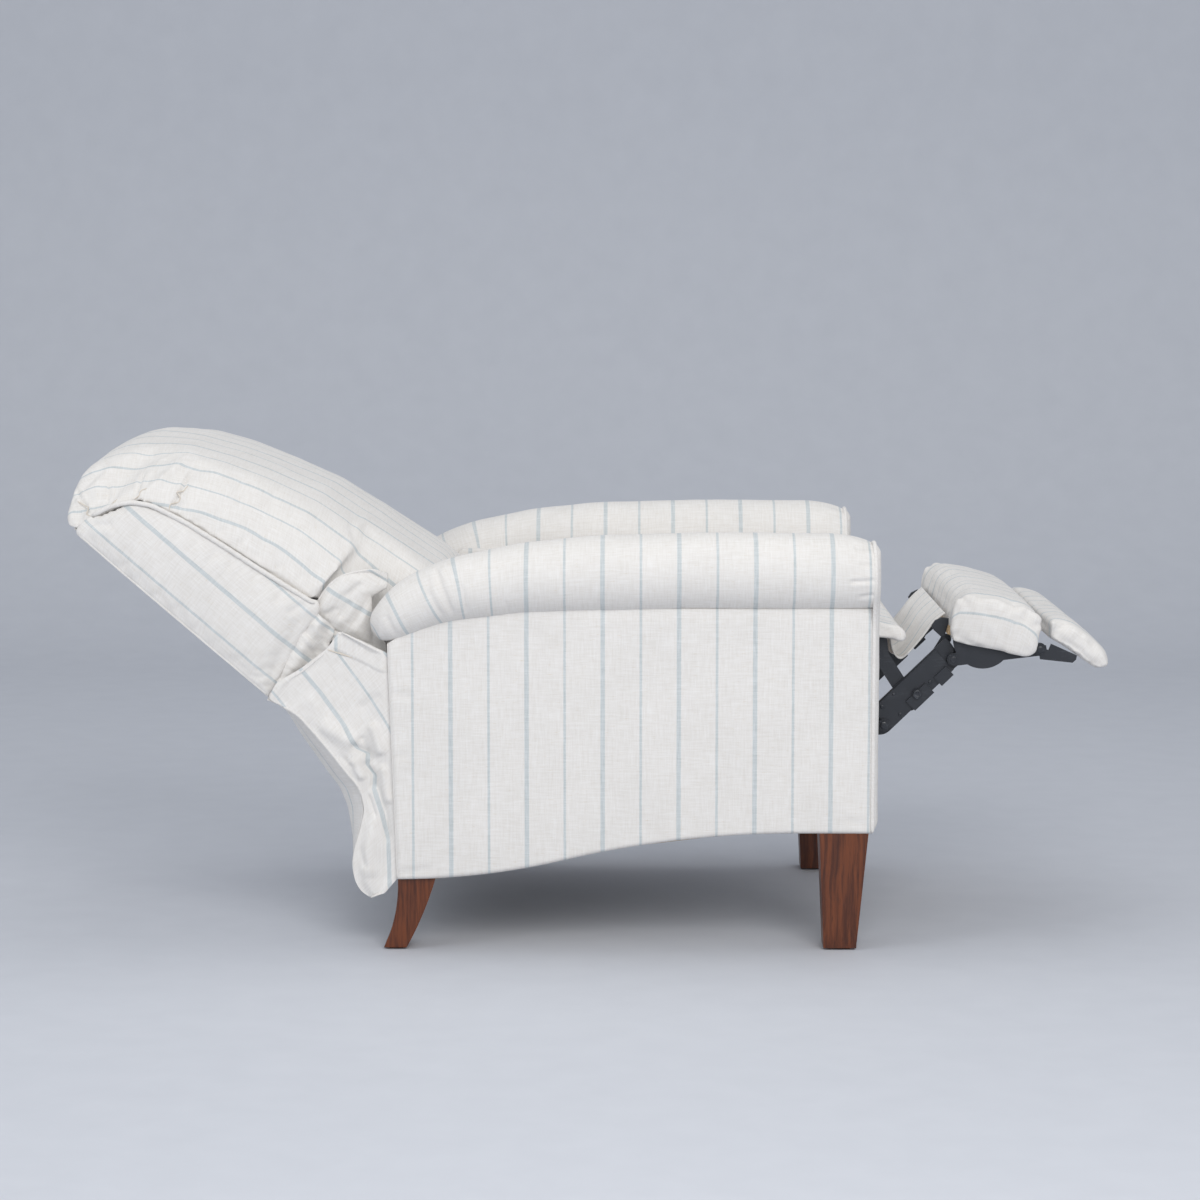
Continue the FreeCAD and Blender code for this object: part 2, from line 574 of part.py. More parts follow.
def seat_slide():
    """Steel tracks on the arms and the runners that carry the seat along them."""
    rad = math.radians(SEAT_PITCH)
    track_y = ARM_INNER_Y - TRACK_THICKNESS
    start = (TRACK_START_X - SEAT_REAR_X) / math.cos(rad)
    top = -TRACK_DROP
    track = block(start, start + TRACK_LENGTH, track_y, ARM_INNER_Y, top - TRACK_HEIGHT, top)
    track = on_seat(track)
    save("seat_tracks", group(track, mirrored(track)))
    low = -SEAT_THICKNESS - SEAT_RAIL_HEIGHT
    shelf_low = top + SLIDE_GAP
    face_y = track_y - SLIDE_GAP
    wall = block(RUNNER_START, RUNNER_START + RUNNER_LENGTH, SEAT_RAIL_OUTER, SEAT_RAIL_OUTER + RUNNER_PLATE,
                 low, shelf_low + RUNNER_PLATE)
    shelf = block(RUNNER_START, RUNNER_START + RUNNER_LENGTH, SEAT_RAIL_OUTER,
                  ARM_INNER_Y - RUNNER_PLATE, shelf_low, shelf_low + RUNNER_PLATE)
    lip = block(RUNNER_START, RUNNER_START + RUNNER_LENGTH, face_y - RUNNER_PLATE, face_y,
                top - TRACK_HEIGHT, shelf_low)
    runner = on_seat(wall.fuse([shelf, lip]).removeSplitter())
    save("seat_runners", group(runner, mirrored(runner)))


# Footrest linkage


def side_plate():
    """Plate on the seat's rail that carries the two fixed pivots of the linkage."""
    rail = turned(block(SEAT_RAIL_END - 3 * SEAT_RAIL_HEIGHT, SEAT_RAIL_END, PLATE_Y, PLATE_Y + SIDE_PLATE,
                        -SEAT_THICKNESS - SEAT_RAIL_HEIGHT, -SEAT_UNDERSIDE),
                  -SEAT_PITCH, V(SEAT_REAR_X, 0, SEAT_REAR_Z))
    arm = link([DRIVE_PIVOT, SWING_PIVOT], LINK_RADIUS, PLATE_Y, PLATE_Y + SIDE_PLATE)
    plate = rail.fuse(arm).removeSplitter()
    plate = pinned(plate, SWING_PIVOT, PLATE_Y, SWING_Y + LINK_THICKNESS + LAYER_GAP / 2,
                   SWING_Y + LINK_THICKNESS + LAYER_GAP / 4, BAR_Y)
    return pinned(plate, DRIVE_PIVOT, PLATE_Y, DRIVE_Y + LINK_THICKNESS + LAYER_GAP / 2,
                  DRIVE_Y + LINK_THICKNESS + LAYER_GAP / 4, CONTROL_Y)


def cross_tube_centre():
    """Middle of the cross tube, inside the lift bar's outline below its line of pivots."""
    run = PAD_PIVOT - BAR_TAIL_PIVOT
    run.normalize()
    return BAR_TAIL_PIVOT + V(run.x * CROSS_TUBE_REACH + run.z * CROSS_TUBE_DROP, 0,
                              run.z * CROSS_TUBE_REACH - run.x * CROSS_TUBE_DROP)


# Lift bar's outline from its lower pivot: share of its length, share of its lower or upper side
BAR_LOWER_SHARES = [(0.0, 1.0), (0.90, 1.0), (0.92, 0.92)]
BAR_HEAD_SHARES = [(0.6, -0.45), (1.0, 0.7), (0.92, 1.0)]
# Guards on its outer face: start and end along it, then the lower and upper edges' shares
BAR_GUARD_SHARES = [(0.02, 0.93, 0.93, 0.95), (0.34, 0.615, 1.24, 0.1), (0.72, 0.89, 1.3, 0.0)]


def on_bar(shape):
    """Shape moved from the origin onto the line through the lift bar's end pivots."""
    run = PAD_PIVOT - BAR_TAIL_PIVOT
    return turned(shape, -math.degrees(math.atan2(run.z, run.x)), BAR_TAIL_PIVOT)


def lift_bar():
    """Long bar that carries the footrest, stiffened by stepped guards on its outer face."""
    length = (PAD_PIVOT - BAR_TAIL_PIVOT).Length
    outline = [(x * length, -z * BAR_LOWER_SIDE) for x, z in BAR_LOWER_SHARES]
    outline += [(length + x * BAR_OVERHANG, z * BAR_UPPER_SIDE) for x, z in BAR_HEAD_SHARES]
    outline.append((0, BAR_UPPER_SIDE))
    tail_radius = (BAR_UPPER_SIDE + BAR_LOWER_SIDE) / 2
    tail = rod(V(0, 0, tail_radius - BAR_LOWER_SIDE), tail_radius, BAR_Y, BAR_Y + BAR_CORE)
    bar = prism(outline, BAR_Y, BAR_Y + BAR_CORE).fuse(tail)
    for index, (start, end, lower, upper) in enumerate(BAR_GUARD_SHARES):
        layer = BAR_Y + BAR_CORE + min(index, 1) * BAR_GUARD
        guard = block(start * length, end * length, layer, layer + BAR_GUARD,
                      -lower * BAR_LOWER_SIDE, upper * BAR_UPPER_SIDE)
        inner = block(start * length, end * length, BAR_Y, layer, -lower * BAR_LOWER_SIDE, 0)
        bar = bar.fuse([guard, inner])
    bar = on_bar(bar.removeSplitter())
    for pivot in (BAR_TAIL_PIVOT, PAD_PIVOT):
        bar = bar.fuse(rod(pivot, LINK_RADIUS, BAR_Y, BAR_END_Y))
    bar = bar.removeSplitter().cut(rod(cross_tube_centre(), CROSS_TUBE_RADIUS, 0, BAR_Y + BAR_CORE))
    bar = bored(bored(bar, BAR_PIVOT), BAR_TAIL_PIVOT, PIN_RADIUS + OPEN_PIVOT_GAP)
    return pinned(bar, PAD_PIVOT, BAR_Y, BRACKET_Y + SIDE_PLATE + LAYER_GAP / 2,
                  BRACKET_Y + SIDE_PLATE + LAYER_GAP / 4, BRACKET_Y + SIDE_PLATE + LAYER_GAP / 4 + PIN_HEAD)


# The swing link's bends: shares of the way to its lower pivot, forward and down
SWING_SHARES = [(0.31, 0.09), (0.337, 0.34), (0.663, 0.82)]


def linkage():
    save_pair("side_plate", side_plate())
    reach = BAR_PIVOT - SWING_PIVOT
    bends = [SWING_PIVOT + V(reach.x * x, 0, reach.z * z) for x, z in SWING_SHARES]
    swing = link([SWING_PIVOT] + bends + [BAR_PIVOT, CONTROL_SWING_PIVOT], SWING_LINK_RADIUS,
                 SWING_Y, SWING_Y + LINK_THICKNESS)
    swing = bored(swing, SWING_PIVOT)
    swing = pinned(swing, BAR_PIVOT, SWING_Y, BAR_END_Y + LAYER_GAP / 2,
                   BAR_END_Y + LAYER_GAP / 4, BAR_END_Y + LAYER_GAP / 4 + PIN_HEAD / 4)
    swing = pinned(swing, CONTROL_SWING_PIVOT, CONTROL_Y - LAYER_GAP / 2, SWING_Y,
                   CONTROL_Y - LAYER_GAP / 4 * 3, CONTROL_Y - LAYER_GAP / 4)
    save_pair("swing_link", swing)
    drive = link([DRIVE_PIVOT, BAR_TAIL_PIVOT], LINK_RADIUS, DRIVE_Y, DRIVE_Y + LINK_THICKNESS)
    drive = bored(drive, DRIVE_PIVOT)
    drive = pinned(drive, BAR_TAIL_PIVOT, DRIVE_Y, BAR_END_Y + LAYER_GAP / 2,
                   BAR_END_Y + LAYER_GAP / 4, BAR_END_Y + LAYER_GAP / 4 + PIN_HEAD)
    save_pair("drive_link", drive)
    save_pair("lift_bar", lift_bar())
    control = link([CONTROL_SWING_PIVOT, CONTROL_PAD_PIVOT], CONTROL_LINK_RADIUS,
                   CONTROL_Y, CONTROL_Y + LINK_THICKNESS)
    control = bored(bored(control, CONTROL_SWING_PIVOT, PIN_RADIUS + OPEN_PIVOT_GAP / 2), CONTROL_PAD_PIVOT)
    save_pair("control_link", control)
    centre = cross_tube_centre()
    half = BAR_Y + BAR_CORE
    tube = rod(centre, CROSS_TUBE_RADIUS, -half, half)
    save("cross_tube", tube.cut(rod(centre, CROSS_TUBE_RADIUS - CROSS_TUBE_WALL, -half, half)))


# Footrest

PAD_SHARES = [
    (-0.08, 0.66), (-0.06, 0.81), (0.03, 0.915), (0.42, 0.995), (0.755, 1.0), (0.92, 0.917), (0.987, 0.82),
    (0.977, 0.67), (0.977, 0.435), (1.0, 0.19), (0.865, 0.13), (0.59, 0.095), (0.26, 0.03), (0.034, 0.016),
    (-0.02, 0.11), (-0.044, 0.36),
]
EXTENSION_SHARES = [
    (-0.126, 0.69), (-0.035, 0.70), (0.21, 1.0), (0.47, 1.0), (0.77, 0.89), (1.0, 0.68), (0.887, 0.25),
    (0.76, 0.2), (0.49, 0.174), (0.24, 0.144), (0.08, 0.047),
]
# The extension's bracket with its hook, as shares of its length and height from its pivot
HOOK_SHARES = [(-0.03, 0.30), (0.15, 0.22), (0.17, 0.0), (0.22, -0.02), (0.28, 0.30), (0.95, -0.30),
               (0.93, -0.52), (0.84, -0.68), (0.0, -0.50)]
# The inner cheek behind the pad, as shares of the pad's length and height
CHEEK_SHARES = [(0.0, 0.0), (-0.13, 0.10), (-0.17, 0.17), (-0.15, 0.27), (-0.09, 0.36), (0.0, 0.38)]
# Across a pad: share of its half width, then how much of its length and height is left there
PAD_EDGE_SHARES = [(-1.0, 0.92), (-0.97, 0.98), (-0.9, 1.0), (0.9, 1.0), (0.97, 0.98), (1.0, 0.92)]


def pad(shares, length, height, width):
    """Padded slab whose ends draw in a little, lofted across the chair."""
    middle = (length / 2, height / 2)
    sections = []
    for across, left in PAD_EDGE_SHARES:
        y = across * width / 2
        points = []
        for x, z in scaled(shares, length, height):
            points.append(V(middle[0] + (x - middle[0]) * left, y, middle[1] + (z - middle[1]) * left))
        sections.append(wire_through(points))
    return Part.makeLoft(sections, True, True)


def on_pad(shape):
    return turned(shape, PAD_SLOPE, PAD_REAR)


def on_extension(shape):
    return turned(shape, EXTENSION_SLOPE, EXTENSION_REAR)


def footrest():
    inner = BRACKET_Y - LAYER_GAP
    board_top = PAD_BOARD_Z + PAD_BOARD
    board = block(0, PAD_BOARD_LENGTH, -inner, inner, PAD_BOARD_Z, board_top)
    shape = pad(PAD_SHARES, PAD_LENGTH, PAD_HEIGHT, PAD_WIDTH).cut(board)
    for side in (-1, 1):
        near = side * inner
        y_from, y_to = sorted((near, side * (inner + BRACKET_SLOT)))
        shape = shape.cut(block(-SPAN, SPAN, y_from, y_to, -SPAN, BRACKET_SLOT_HEIGHT))
        y_from, y_to = sorted((0, near))
        shape = shape.cut(block(-SPAN, PAD_BOARD_LENGTH, y_from, y_to, -SPAN, PAD_BOARD_Z))
        y_from, y_to = sorted((side * (DRIVE_Y - PANEL_GAP), side * (DRIVE_Y + LINK_THICKNESS + PANEL_GAP)))
        shape = shape.cut(block(-SPAN, 0, y_from, y_to, -SPAN, BRACKET_SLOT_HEIGHT))
    save("footrest_pad", on_pad(shape))
    save("footrest_board", on_pad(board))
    plate = link([PAD_PIVOT, EXTENSION_PIVOT], LINK_RADIUS, BRACKET_Y, BRACKET_Y + SIDE_PLATE)
    disc = rod(PAD_PIVOT + DISC_PLACE, DISC_RADIUS, BRACKET_Y, BRACKET_Y + SIDE_PLATE)
    disc = disc.cut(on_pad(block(-SPAN, SPAN, 0, SPAN, board_top, SPAN)))
    tab = on_pad(block(PAD_TAB_START, PAD_TAB_START + PAD_TAB_LENGTH, inner, BRACKET_Y + SIDE_PLATE,
                       PAD_BOARD_Z, board_top))
    bracket = bored(plate.fuse([disc, tab]).removeSplitter(), PAD_PIVOT)
    bracket = pinned(bracket, EXTENSION_PIVOT, BRACKET_Y, EXTENSION_Y + SIDE_PLATE + LAYER_GAP / 2,
                     EXTENSION_Y + SIDE_PLATE + LAYER_GAP / 4, EXTENSION_Y + SIDE_PLATE + LAYER_GAP / 4 + PIN_HEAD)
    save_pair("footrest_bracket", group(bracket, cheek(board)))


def cheek(board):
    """Inner plate under the footrest's board that carries the control link's upper pin."""
    y_to = DRIVE_Y + LINK_THICKNESS
    corner = PAD_REAR + V(CHEEK_TAB, 0, 0)
    plate = on_pad(prism(scaled(CHEEK_SHARES, PAD_LENGTH, PAD_HEIGHT), DRIVE_Y, y_to))
    plate = plate.fuse(link([CONTROL_PAD_PIVOT, corner], CHEEK_RADIUS, DRIVE_Y, y_to)).cut(on_pad(board))
    plate = max(plate.Solids, key=lambda solid: solid.Volume)
    return pinned(plate, CONTROL_PAD_PIVOT, DRIVE_Y, CONTROL_Y + LINK_THICKNESS + LAYER_GAP / 2,
                  CONTROL_Y + LINK_THICKNESS + LAYER_GAP / 4, CONTROL_Y + LINK_THICKNESS + LAYER_GAP / 4 * 3)


def extension():
    board = block(EXTENSION_BOARD_START, EXTENSION_BOARD_START + EXTENSION_BOARD_LENGTH,
                  -BRACKET_Y, BRACKET_Y, EXTENSION_BOARD_Z, EXTENSION_BOARD_Z + EXTENSION_BOARD)
    shape = pad(EXTENSION_SHARES, EXTENSION_LENGTH, EXTENSION_HEIGHT, EXTENSION_WIDTH).cut(board)
    save("extension_board", on_extension(board))
    outline = [(EXTENSION_PIVOT.x + x, EXTENSION_PIVOT.z + z)
               for x, z in scaled(HOOK_SHARES, EXTENSION_ARM_LENGTH, EXTENSION_ARM_HEIGHT)]
    plate = prism(outline, EXTENSION_Y, EXTENSION_Y + SIDE_PLATE)
    plate = plate.fuse(rod(EXTENSION_PIVOT, LINK_RADIUS, EXTENSION_Y, EXTENSION_Y + SIDE_PLATE)).removeSplitter()
    bracket = bored(plate, EXTENSION_PIVOT)
    save("extension_pad", on_extension(shape).cut(group(plate, mirrored(plate))))
    save("extension_brackets", group(bracket, mirrored(bracket)))


def sheet(profiles, thickness):
    """Cloth as a thin solid: a folded line at each place across the chair, lofted between them."""
    sections = []
    for y, line in profiles:
        back = []
        for i, point in enumerate(line):
            before = line[max(i - 1, 0)]
            after = line[min(i + 1, len(line) - 1)]
            run = V(after[0] - before[0], 0, after[1] - before[1])
            normal = V(-run.z, 0, run.x)
            normal.normalize()
            back.append((point[0] + normal.x * thickness, point[1] + normal.z * thickness))
        outline = list(line) + back[::-1]
        sections.append(wire_through([V(x, y, z) for x, z in outline]))
    return Part.makeLoft(sections, True, True)


# The gap flap from the seat's nose to the footrest, as shares of its run and its sag
FLAP_SHARES = [
    (0.0, 1.23), (0.066, 0.46), (0.22, 0.0), (0.41, 0.51), (0.60, 1.14), (0.731, 1.66), (0.875, 2.03), (1.0, 2.26),
]
FLAP_START = V(475.0, 0, 460.2)
FLAP_RUN = 86.3
FLAP_SAG = 35.0


def gap_flap():
    low = FLAP_START.z - FLAP_SAG
    line = [(FLAP_START.x + x * FLAP_RUN, low + z * FLAP_SAG) for x, z in FLAP_SHARES]
    half = FLAP_WIDTH / 2
    save("gap_flap", sheet([(-half, line), (half, line)], CLOTH_THICKNESS))


# Back


def on_back(shape):
    return turned(shape, -BACK_LEAN, BACK_FOOT)


# Side panel: share of the wing's depth, share of the panel's height
BACK_PANEL_SHARES = [
    (0.0, 0.0), (0.177, 0.023), (0.476, 0.06), (0.67, 0.075), (0.94, 0.074), (1.0, 0.096), (0.933, 0.22),
    (0.884, 0.36), (0.841, 0.513), (0.80, 0.653), (0.713, 0.806), (0.628, 0.883), (0.524, 0.938),
    (0.39, 0.977), (0.28, 0.995), (0.19, 1.0), (0.0, 0.982),
]
# Up the cushion: share of its top height, then the seam's and the crown's share of the crown's
# depth and the half width's share
BACK_CUSHION_SHARES = [
    (0.10, 0.537, 1.0, 0.995), (0.312, 0.487, 0.955, 1.0), (0.492, 0.453, 0.872, 1.0),
    (0.638, 0.416, 0.793, 1.0), (0.773, 0.342, 0.695, 1.0), (0.847, 0.12, 0.625, 0.99),
    (0.872, 0.0, 0.595, 0.985), (0.902, -0.027, 0.565, 0.97), (0.948, 0.04, 0.485, 0.93),
    (0.980, 0.12, 0.39, 0.86), (1.0, 0.19, 0.32, 0.78),
]
BACK_CHEEK_ROOM = 4.0           # for the cushion's rounded sides, inside the tails of cloth
# The cushion's sides below its crown: shares as for the cushion
BACK_CHEEK_SHARES = [(0.027, 0.555, 1.0), (0.12, 0.532, 0.998)]
# Down the cushion's neck: share of its drop, its rear and its front as shares of the crown's depth
BACK_NECK_SHARES = [(1.0, 0.94, 1.005), (0.73, 0.50, 1.04), (0.5, 0.38, 1.045), (-0.45, 0.285, 0.985)]
NECK_SHOULDER_SHARE = 0.7
# The padding behind the crown, between the side panels: shares of the crown's depth and of the
# side panels' height
CORE_SHARES = [(0.282, 0.13), (0.282, 0.80), (0.40, 0.80), (0.56, 0.13)]
CROWN_SHARES = [(1.0, 0.0), (0.965, 0.42), (0.83, 0.74), (0.0, 1.0)]


def crowned_section(z, half_width, base, seam, crown):
    """Outline across the back: straight at the rear, then rounded shoulders and a crown."""
    rise = crown - seam
    side = [V(seam + c * rise, s * half_width, z) for s, c in CROWN_SHARES]
    other = [V(p.x, -p.y, p.z) for p in side]
    edges = [Part.makeLine(V(base, -half_width, z), V(base, half_width, z)),
             Part.makeLine(V(base, half_width, z), side[0]),
             Part.Arc(side[0], side[1], side[2]).toShape(),
             Part.Arc(side[2], side[3], other[2]).toShape(),
             Part.Arc(other[2], other[1], other[0]).toShape(),
             Part.makeLine(other[0], V(base, -half_width, z))]
    return Part.Wire(edges)


def back_cushion():
    upper = []
    for height, seam, crown, width in BACK_CUSHION_SHARES:
        seam_x = seam * BACK_CROWN_DEPTH
        upper.append(crowned_section(height * BACK_CUSHION_TOP, width * BACK_WIDTH / 2, seam_x - PANEL_THICKNESS / 10,
                                     seam_x, crown * BACK_CROWN_DEPTH))
    crown = Part.makeLoft(upper, True, True)
    cheek_half = BACK_WIDTH / 2 - BACK_PANEL_THICKNESS - TAIL_THICKNESS - BACK_CHEEK_ROOM
    sides = []
    for height, seam, front in BACK_CHEEK_SHARES:
        seam_x = seam * BACK_CROWN_DEPTH
        sides.append(crowned_section(height * BACK_CUSHION_TOP, cheek_half, seam_x - PANEL_THICKNESS / 10,
                                     seam_x, front * BACK_CROWN_DEPTH))
    cheeks = Part.makeLoft(sides, True, True)
    neck = []
    for drop, rear, front in BACK_NECK_SHARES:
        front_x = front * BACK_CROWN_DEPTH
        rear_x = rear * BACK_CROWN_DEPTH
        neck.append(crowned_section(-drop * BACK_NECK_DROP, BACK_NECK_WIDTH / 2, rear_x,
                                    rear_x + (front_x - rear_x) * NECK_SHOULDER_SHARE, front_x))
    lower = Part.makeLoft(neck, True, True)
    core_half = BACK_WIDTH / 2 - BACK_PANEL_THICKNESS - PANEL_GAP
    core = prism(scaled(CORE_SHARES, BACK_CROWN_DEPTH, BACK_PANEL_HEIGHT), -core_half, core_half)
    return on_back(crown.fuse([cheeks, lower, core]))


def back_frame():
    outer = BACK_UPRIGHT_OUTER
    inner = outer - BACK_UPRIGHT_THICKNESS
    wing = BACK_WIDTH / 2 - BACK_PANEL_THICKNESS
    rear, front, tall = BACK_RAIL_REAR, BACK_RAIL_FRONT, BACK_RAIL_HEIGHT
    upright = block(rear, front, inner, outer, BACK_UPRIGHT_FOOT, BACK_UPRIGHT_TOP - tall)
    top = block(rear, front, -wing, wing, BACK_UPRIGHT_TOP - tall, BACK_UPRIGHT_TOP)
    foot = block(rear, front, -inner, inner, BACK_UPRIGHT_FOOT, BACK_UPRIGHT_FOOT + tall)
    middle = block(rear, front, -inner, inner, BACK_PANEL_HEIGHT / 2 - tall, BACK_PANEL_HEIGHT / 2)
    wing_rail = block(rear, front, outer, wing, BACK_WING_RAIL_Z, BACK_WING_RAIL_Z + tall)
    frame = group(upright, mirrored(upright), top, foot, middle, wing_rail, mirrored(wing_rail))
    save("back_frame", on_back(frame))
    first = BACK_UPRIGHT_FOOT + tall
    pitch = (BACK_UPRIGHT_TOP - tall - first) / BACK_STRAP_COUNT
    straps = []
    for i in range(BACK_STRAP_COUNT):
        z = first + (i + 0.5) * pitch
        straps.append(block(front, front + STRAP_THICKNESS, -outer, outer, z - STRAP_WIDTH / 2, z + STRAP_WIDTH / 2))
    save("back_webbing", on_back(group(*straps)))


def back():
    wing = BACK_WIDTH / 2
    panel = prism(scaled(BACK_PANEL_SHARES, BACK_WING_DEPTH, BACK_PANEL_HEIGHT), wing - BACK_PANEL_THICKNESS, wing)
    cushion = back_cushion()
    save("back_cushion", cushion)
    save_pair("back_side_panel", on_back(panel).cut(cushion))
    inner = wing - BACK_PANEL_THICKNESS
    outside = block(0, OUTSIDE_BACK_THICKNESS, -inner, inner, 0, OUTSIDE_BACK_HEIGHT)
    spacer = block(OUTSIDE_BACK_THICKNESS, BACK_RAIL_REAR, -inner, inner, BACK_UPRIGHT_TOP - BACK_RAIL_HEIGHT,
                   BACK_UPRIGHT_TOP)
    save("outside_back", on_back(outside.fuse(spacer).removeSplitter()))
    back_frame()


def back_pivots():
    """Steel arms from the back's frame to the pins on which it tilts."""
    y_from = BACK_UPRIGHT_OUTER
    y_to = y_from + BACK_BRACKET
    upright_x = (BACK_RAIL_REAR + BACK_RAIL_FRONT) / 2
    fastened = [on_back(Part.Vertex(upright_x, 0, z)).Point for z in (BACK_BRACKET_TOP, BACK_UPRIGHT_FOOT)]
    arm = link(fastened + [BACK_PIVOT], BACK_BRACKET_RADIUS, y_from, y_to)
    arm = bored(arm, BACK_PIVOT, BACK_PIN_RADIUS + RUN_GAP)
    save_pair("back_bracket", arm)
    shoulder = y_to + SLIDE_GAP
    boss = rod(BACK_PIVOT, BACK_BOSS_RADIUS, shoulder, ARM_INNER_Y)
    boss = boss.fuse(rod(BACK_PIVOT, BACK_PIN_RADIUS, y_from - LAYER_GAP / 2, shoulder))
    boss = boss.removeSplitter()
    save("back_pivot_pins", group(boss, mirrored(boss)))


# Folded lines of the drop cloth from the back's lower edge to the rear rail, at its sides and in
# its middle: share of the run forward, share of the fall
DROP_EDGE_SHARES = [
    (0, 0), (0.088, 0.024), (0.23, 0.078), (0.371, 0.195), (0.492, 0.301), (0.603, 0.406),
    (0.709, 0.494), (0.744, 0.617), (0.709, 0.73), (0.663, 0.843), (0.643, 0.934), (0.669, 1.026),
    (0.719, 1.087), (0.785, 1.113), (0.901, 1.084), (1, 1),
]
DROP_MIDDLE_SHARES = [
    (0, 0), (-0.048, 0.086), (-0.018, 0.191), (0.038, 0.304), (0.139, 0.428), (0.25, 0.552),
    (0.381, 0.665), (0.507, 0.763), (0.603, 0.829), (0.648, 0.887), (0.674, 0.949), (0.704, 1.011),
    (0.749, 1.051), (0.81, 1.069), (0.911, 1.051), (1, 1),
]
# Across the cloth: share of its half width, then how much of the middle's fold it has there
DROP_ACROSS_SHARES = [(-1.0, 0.0), (-0.8, 0.38), (-0.5, 0.5), (0.0, 0.52), (0.5, 0.5), (0.8, 0.38), (1.0, 0.0)]
# Gusset at each side: its upper edge from the back to the arm, before it follows the drop cloth's edge
GUSSET_SHARES = [(0.075, -0.1), (0.25, -0.171), (0.47, -0.29), (0.557, -0.383), (0.905, -0.266)]


def drop_points(shares):
    start = BACK_FOOT + V(DROP_HEM_CLEARANCE, 0, -DROP_HEM_CLEARANCE)
    run = ARM_REAR_X - PANEL_GAP - start.x
    fall = start.z - REAR_HEM_Z
    return [(start.x + run * x, start.z - fall * z) for x, z in shares]


def drop_cloth():
    """Rear cloth between the back and the base, closed by a gusset at each side."""
    half = DROP_CLOTH_WIDTH / 2
    edge = drop_points(DROP_EDGE_SHARES)
    middle = drop_points(DROP_MIDDLE_SHARES)
    profiles = []
    for across, bulge in DROP_ACROSS_SHARES:
        line = [(a + (c - a) * bulge, b + (d - b) * bulge) for (a, b), (c, d) in zip(edge, middle)]
        profiles.append((across * half, line))
    save("drop_cloth", sheet(profiles, CLOTH_THICKNESS))
    outline = drop_points(GUSSET_SHARES)[::-1] + edge
    gusset = prism(outline, half + PANEL_GAP, half + PANEL_GAP + GUSSET_THICKNESS)
    save("drop_gussets", group(gusset, mirrored(gusset)))


# Side tail of cloth between the back's wing and the arm: share of its length and height
TAIL_SHARES = [
    (-0.12, 0.36), (0.02, 0.6), (0.18, 0.82), (0.42, 1.0), (0.65, 1.05), (1.0, 1.04), (1.3, 0.9),
    (1.3, 0.8), (1.0, 0.66), (1.0, -0.12), (0.6, 0.0), (0.12, 0.2),
]
TAIL_LENGTH = 84.0
TAIL_HEIGHT = 95.0
TAIL_FOOT_Z = 478.0
TAIL_THICKNESS = 8.0


def side_tails():
    front = ARM_FRONT_X - ROLL_LENGTH - TAIL_REAR_GAP
    y_from = BACK_WIDTH / 2 - BACK_PANEL_THICKNESS - PANEL_GAP - TAIL_THICKNESS
    points = [(front - TAIL_LENGTH + x * TAIL_LENGTH, TAIL_FOOT_Z + z * TAIL_HEIGHT) for x, z in TAIL_SHARES]
    tail = prism(points, y_from, y_from + TAIL_THICKNESS)
    save_pair("side_tail", tail)


def main():
    os.makedirs("parts", exist_ok=True)
    arms()
    arm_frames()
    roll_core()
    base_rails()
    legs()
    save("seat_cushion", seat_cushion())
    seat_frame()
    seat_slide()
    linkage()
    footrest()
    extension()
    gap_flap()
    back()
    back_pivots()
    drop_cloth()
    side_tails()


main()
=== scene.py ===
import json
import math

import bmesh
import bpy
import numpy as np
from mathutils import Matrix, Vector
from mathutils import noise as mnoise


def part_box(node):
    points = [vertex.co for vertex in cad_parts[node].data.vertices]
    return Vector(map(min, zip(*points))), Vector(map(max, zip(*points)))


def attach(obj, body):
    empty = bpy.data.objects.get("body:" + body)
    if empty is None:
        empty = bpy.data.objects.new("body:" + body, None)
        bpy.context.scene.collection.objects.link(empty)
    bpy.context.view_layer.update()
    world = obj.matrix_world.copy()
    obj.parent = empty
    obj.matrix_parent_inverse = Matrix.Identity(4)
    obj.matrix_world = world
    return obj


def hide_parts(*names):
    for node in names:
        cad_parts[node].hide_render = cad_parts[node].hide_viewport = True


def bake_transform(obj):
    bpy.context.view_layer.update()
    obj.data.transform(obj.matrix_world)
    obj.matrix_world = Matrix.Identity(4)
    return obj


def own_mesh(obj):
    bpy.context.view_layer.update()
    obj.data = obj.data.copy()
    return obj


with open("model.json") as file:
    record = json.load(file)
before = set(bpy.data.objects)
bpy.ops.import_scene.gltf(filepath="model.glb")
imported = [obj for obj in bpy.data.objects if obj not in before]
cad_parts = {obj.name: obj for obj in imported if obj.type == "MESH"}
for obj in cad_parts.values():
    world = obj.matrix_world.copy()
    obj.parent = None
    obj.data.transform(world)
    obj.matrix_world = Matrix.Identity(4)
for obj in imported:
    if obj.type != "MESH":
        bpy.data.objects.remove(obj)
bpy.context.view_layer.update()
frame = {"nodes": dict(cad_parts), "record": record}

NODES = frame["nodes"]
SCENE = bpy.context.scene
PITCH = 0.0578          # from a wide stripe to the next thin one
WIDE, THIN = 0.0066, 0.0038  # the two stripes
STRIPE_BLUE = (0.530, 0.585, 0.615)
SWELL_FRAMES = 20
CLOTH = 0.0018          # thickness of a hung sheet with its lining
SIDES = ((1, "right"), (-1, "left"))  # sign of a right hand line's y, and the side's name


# Materials


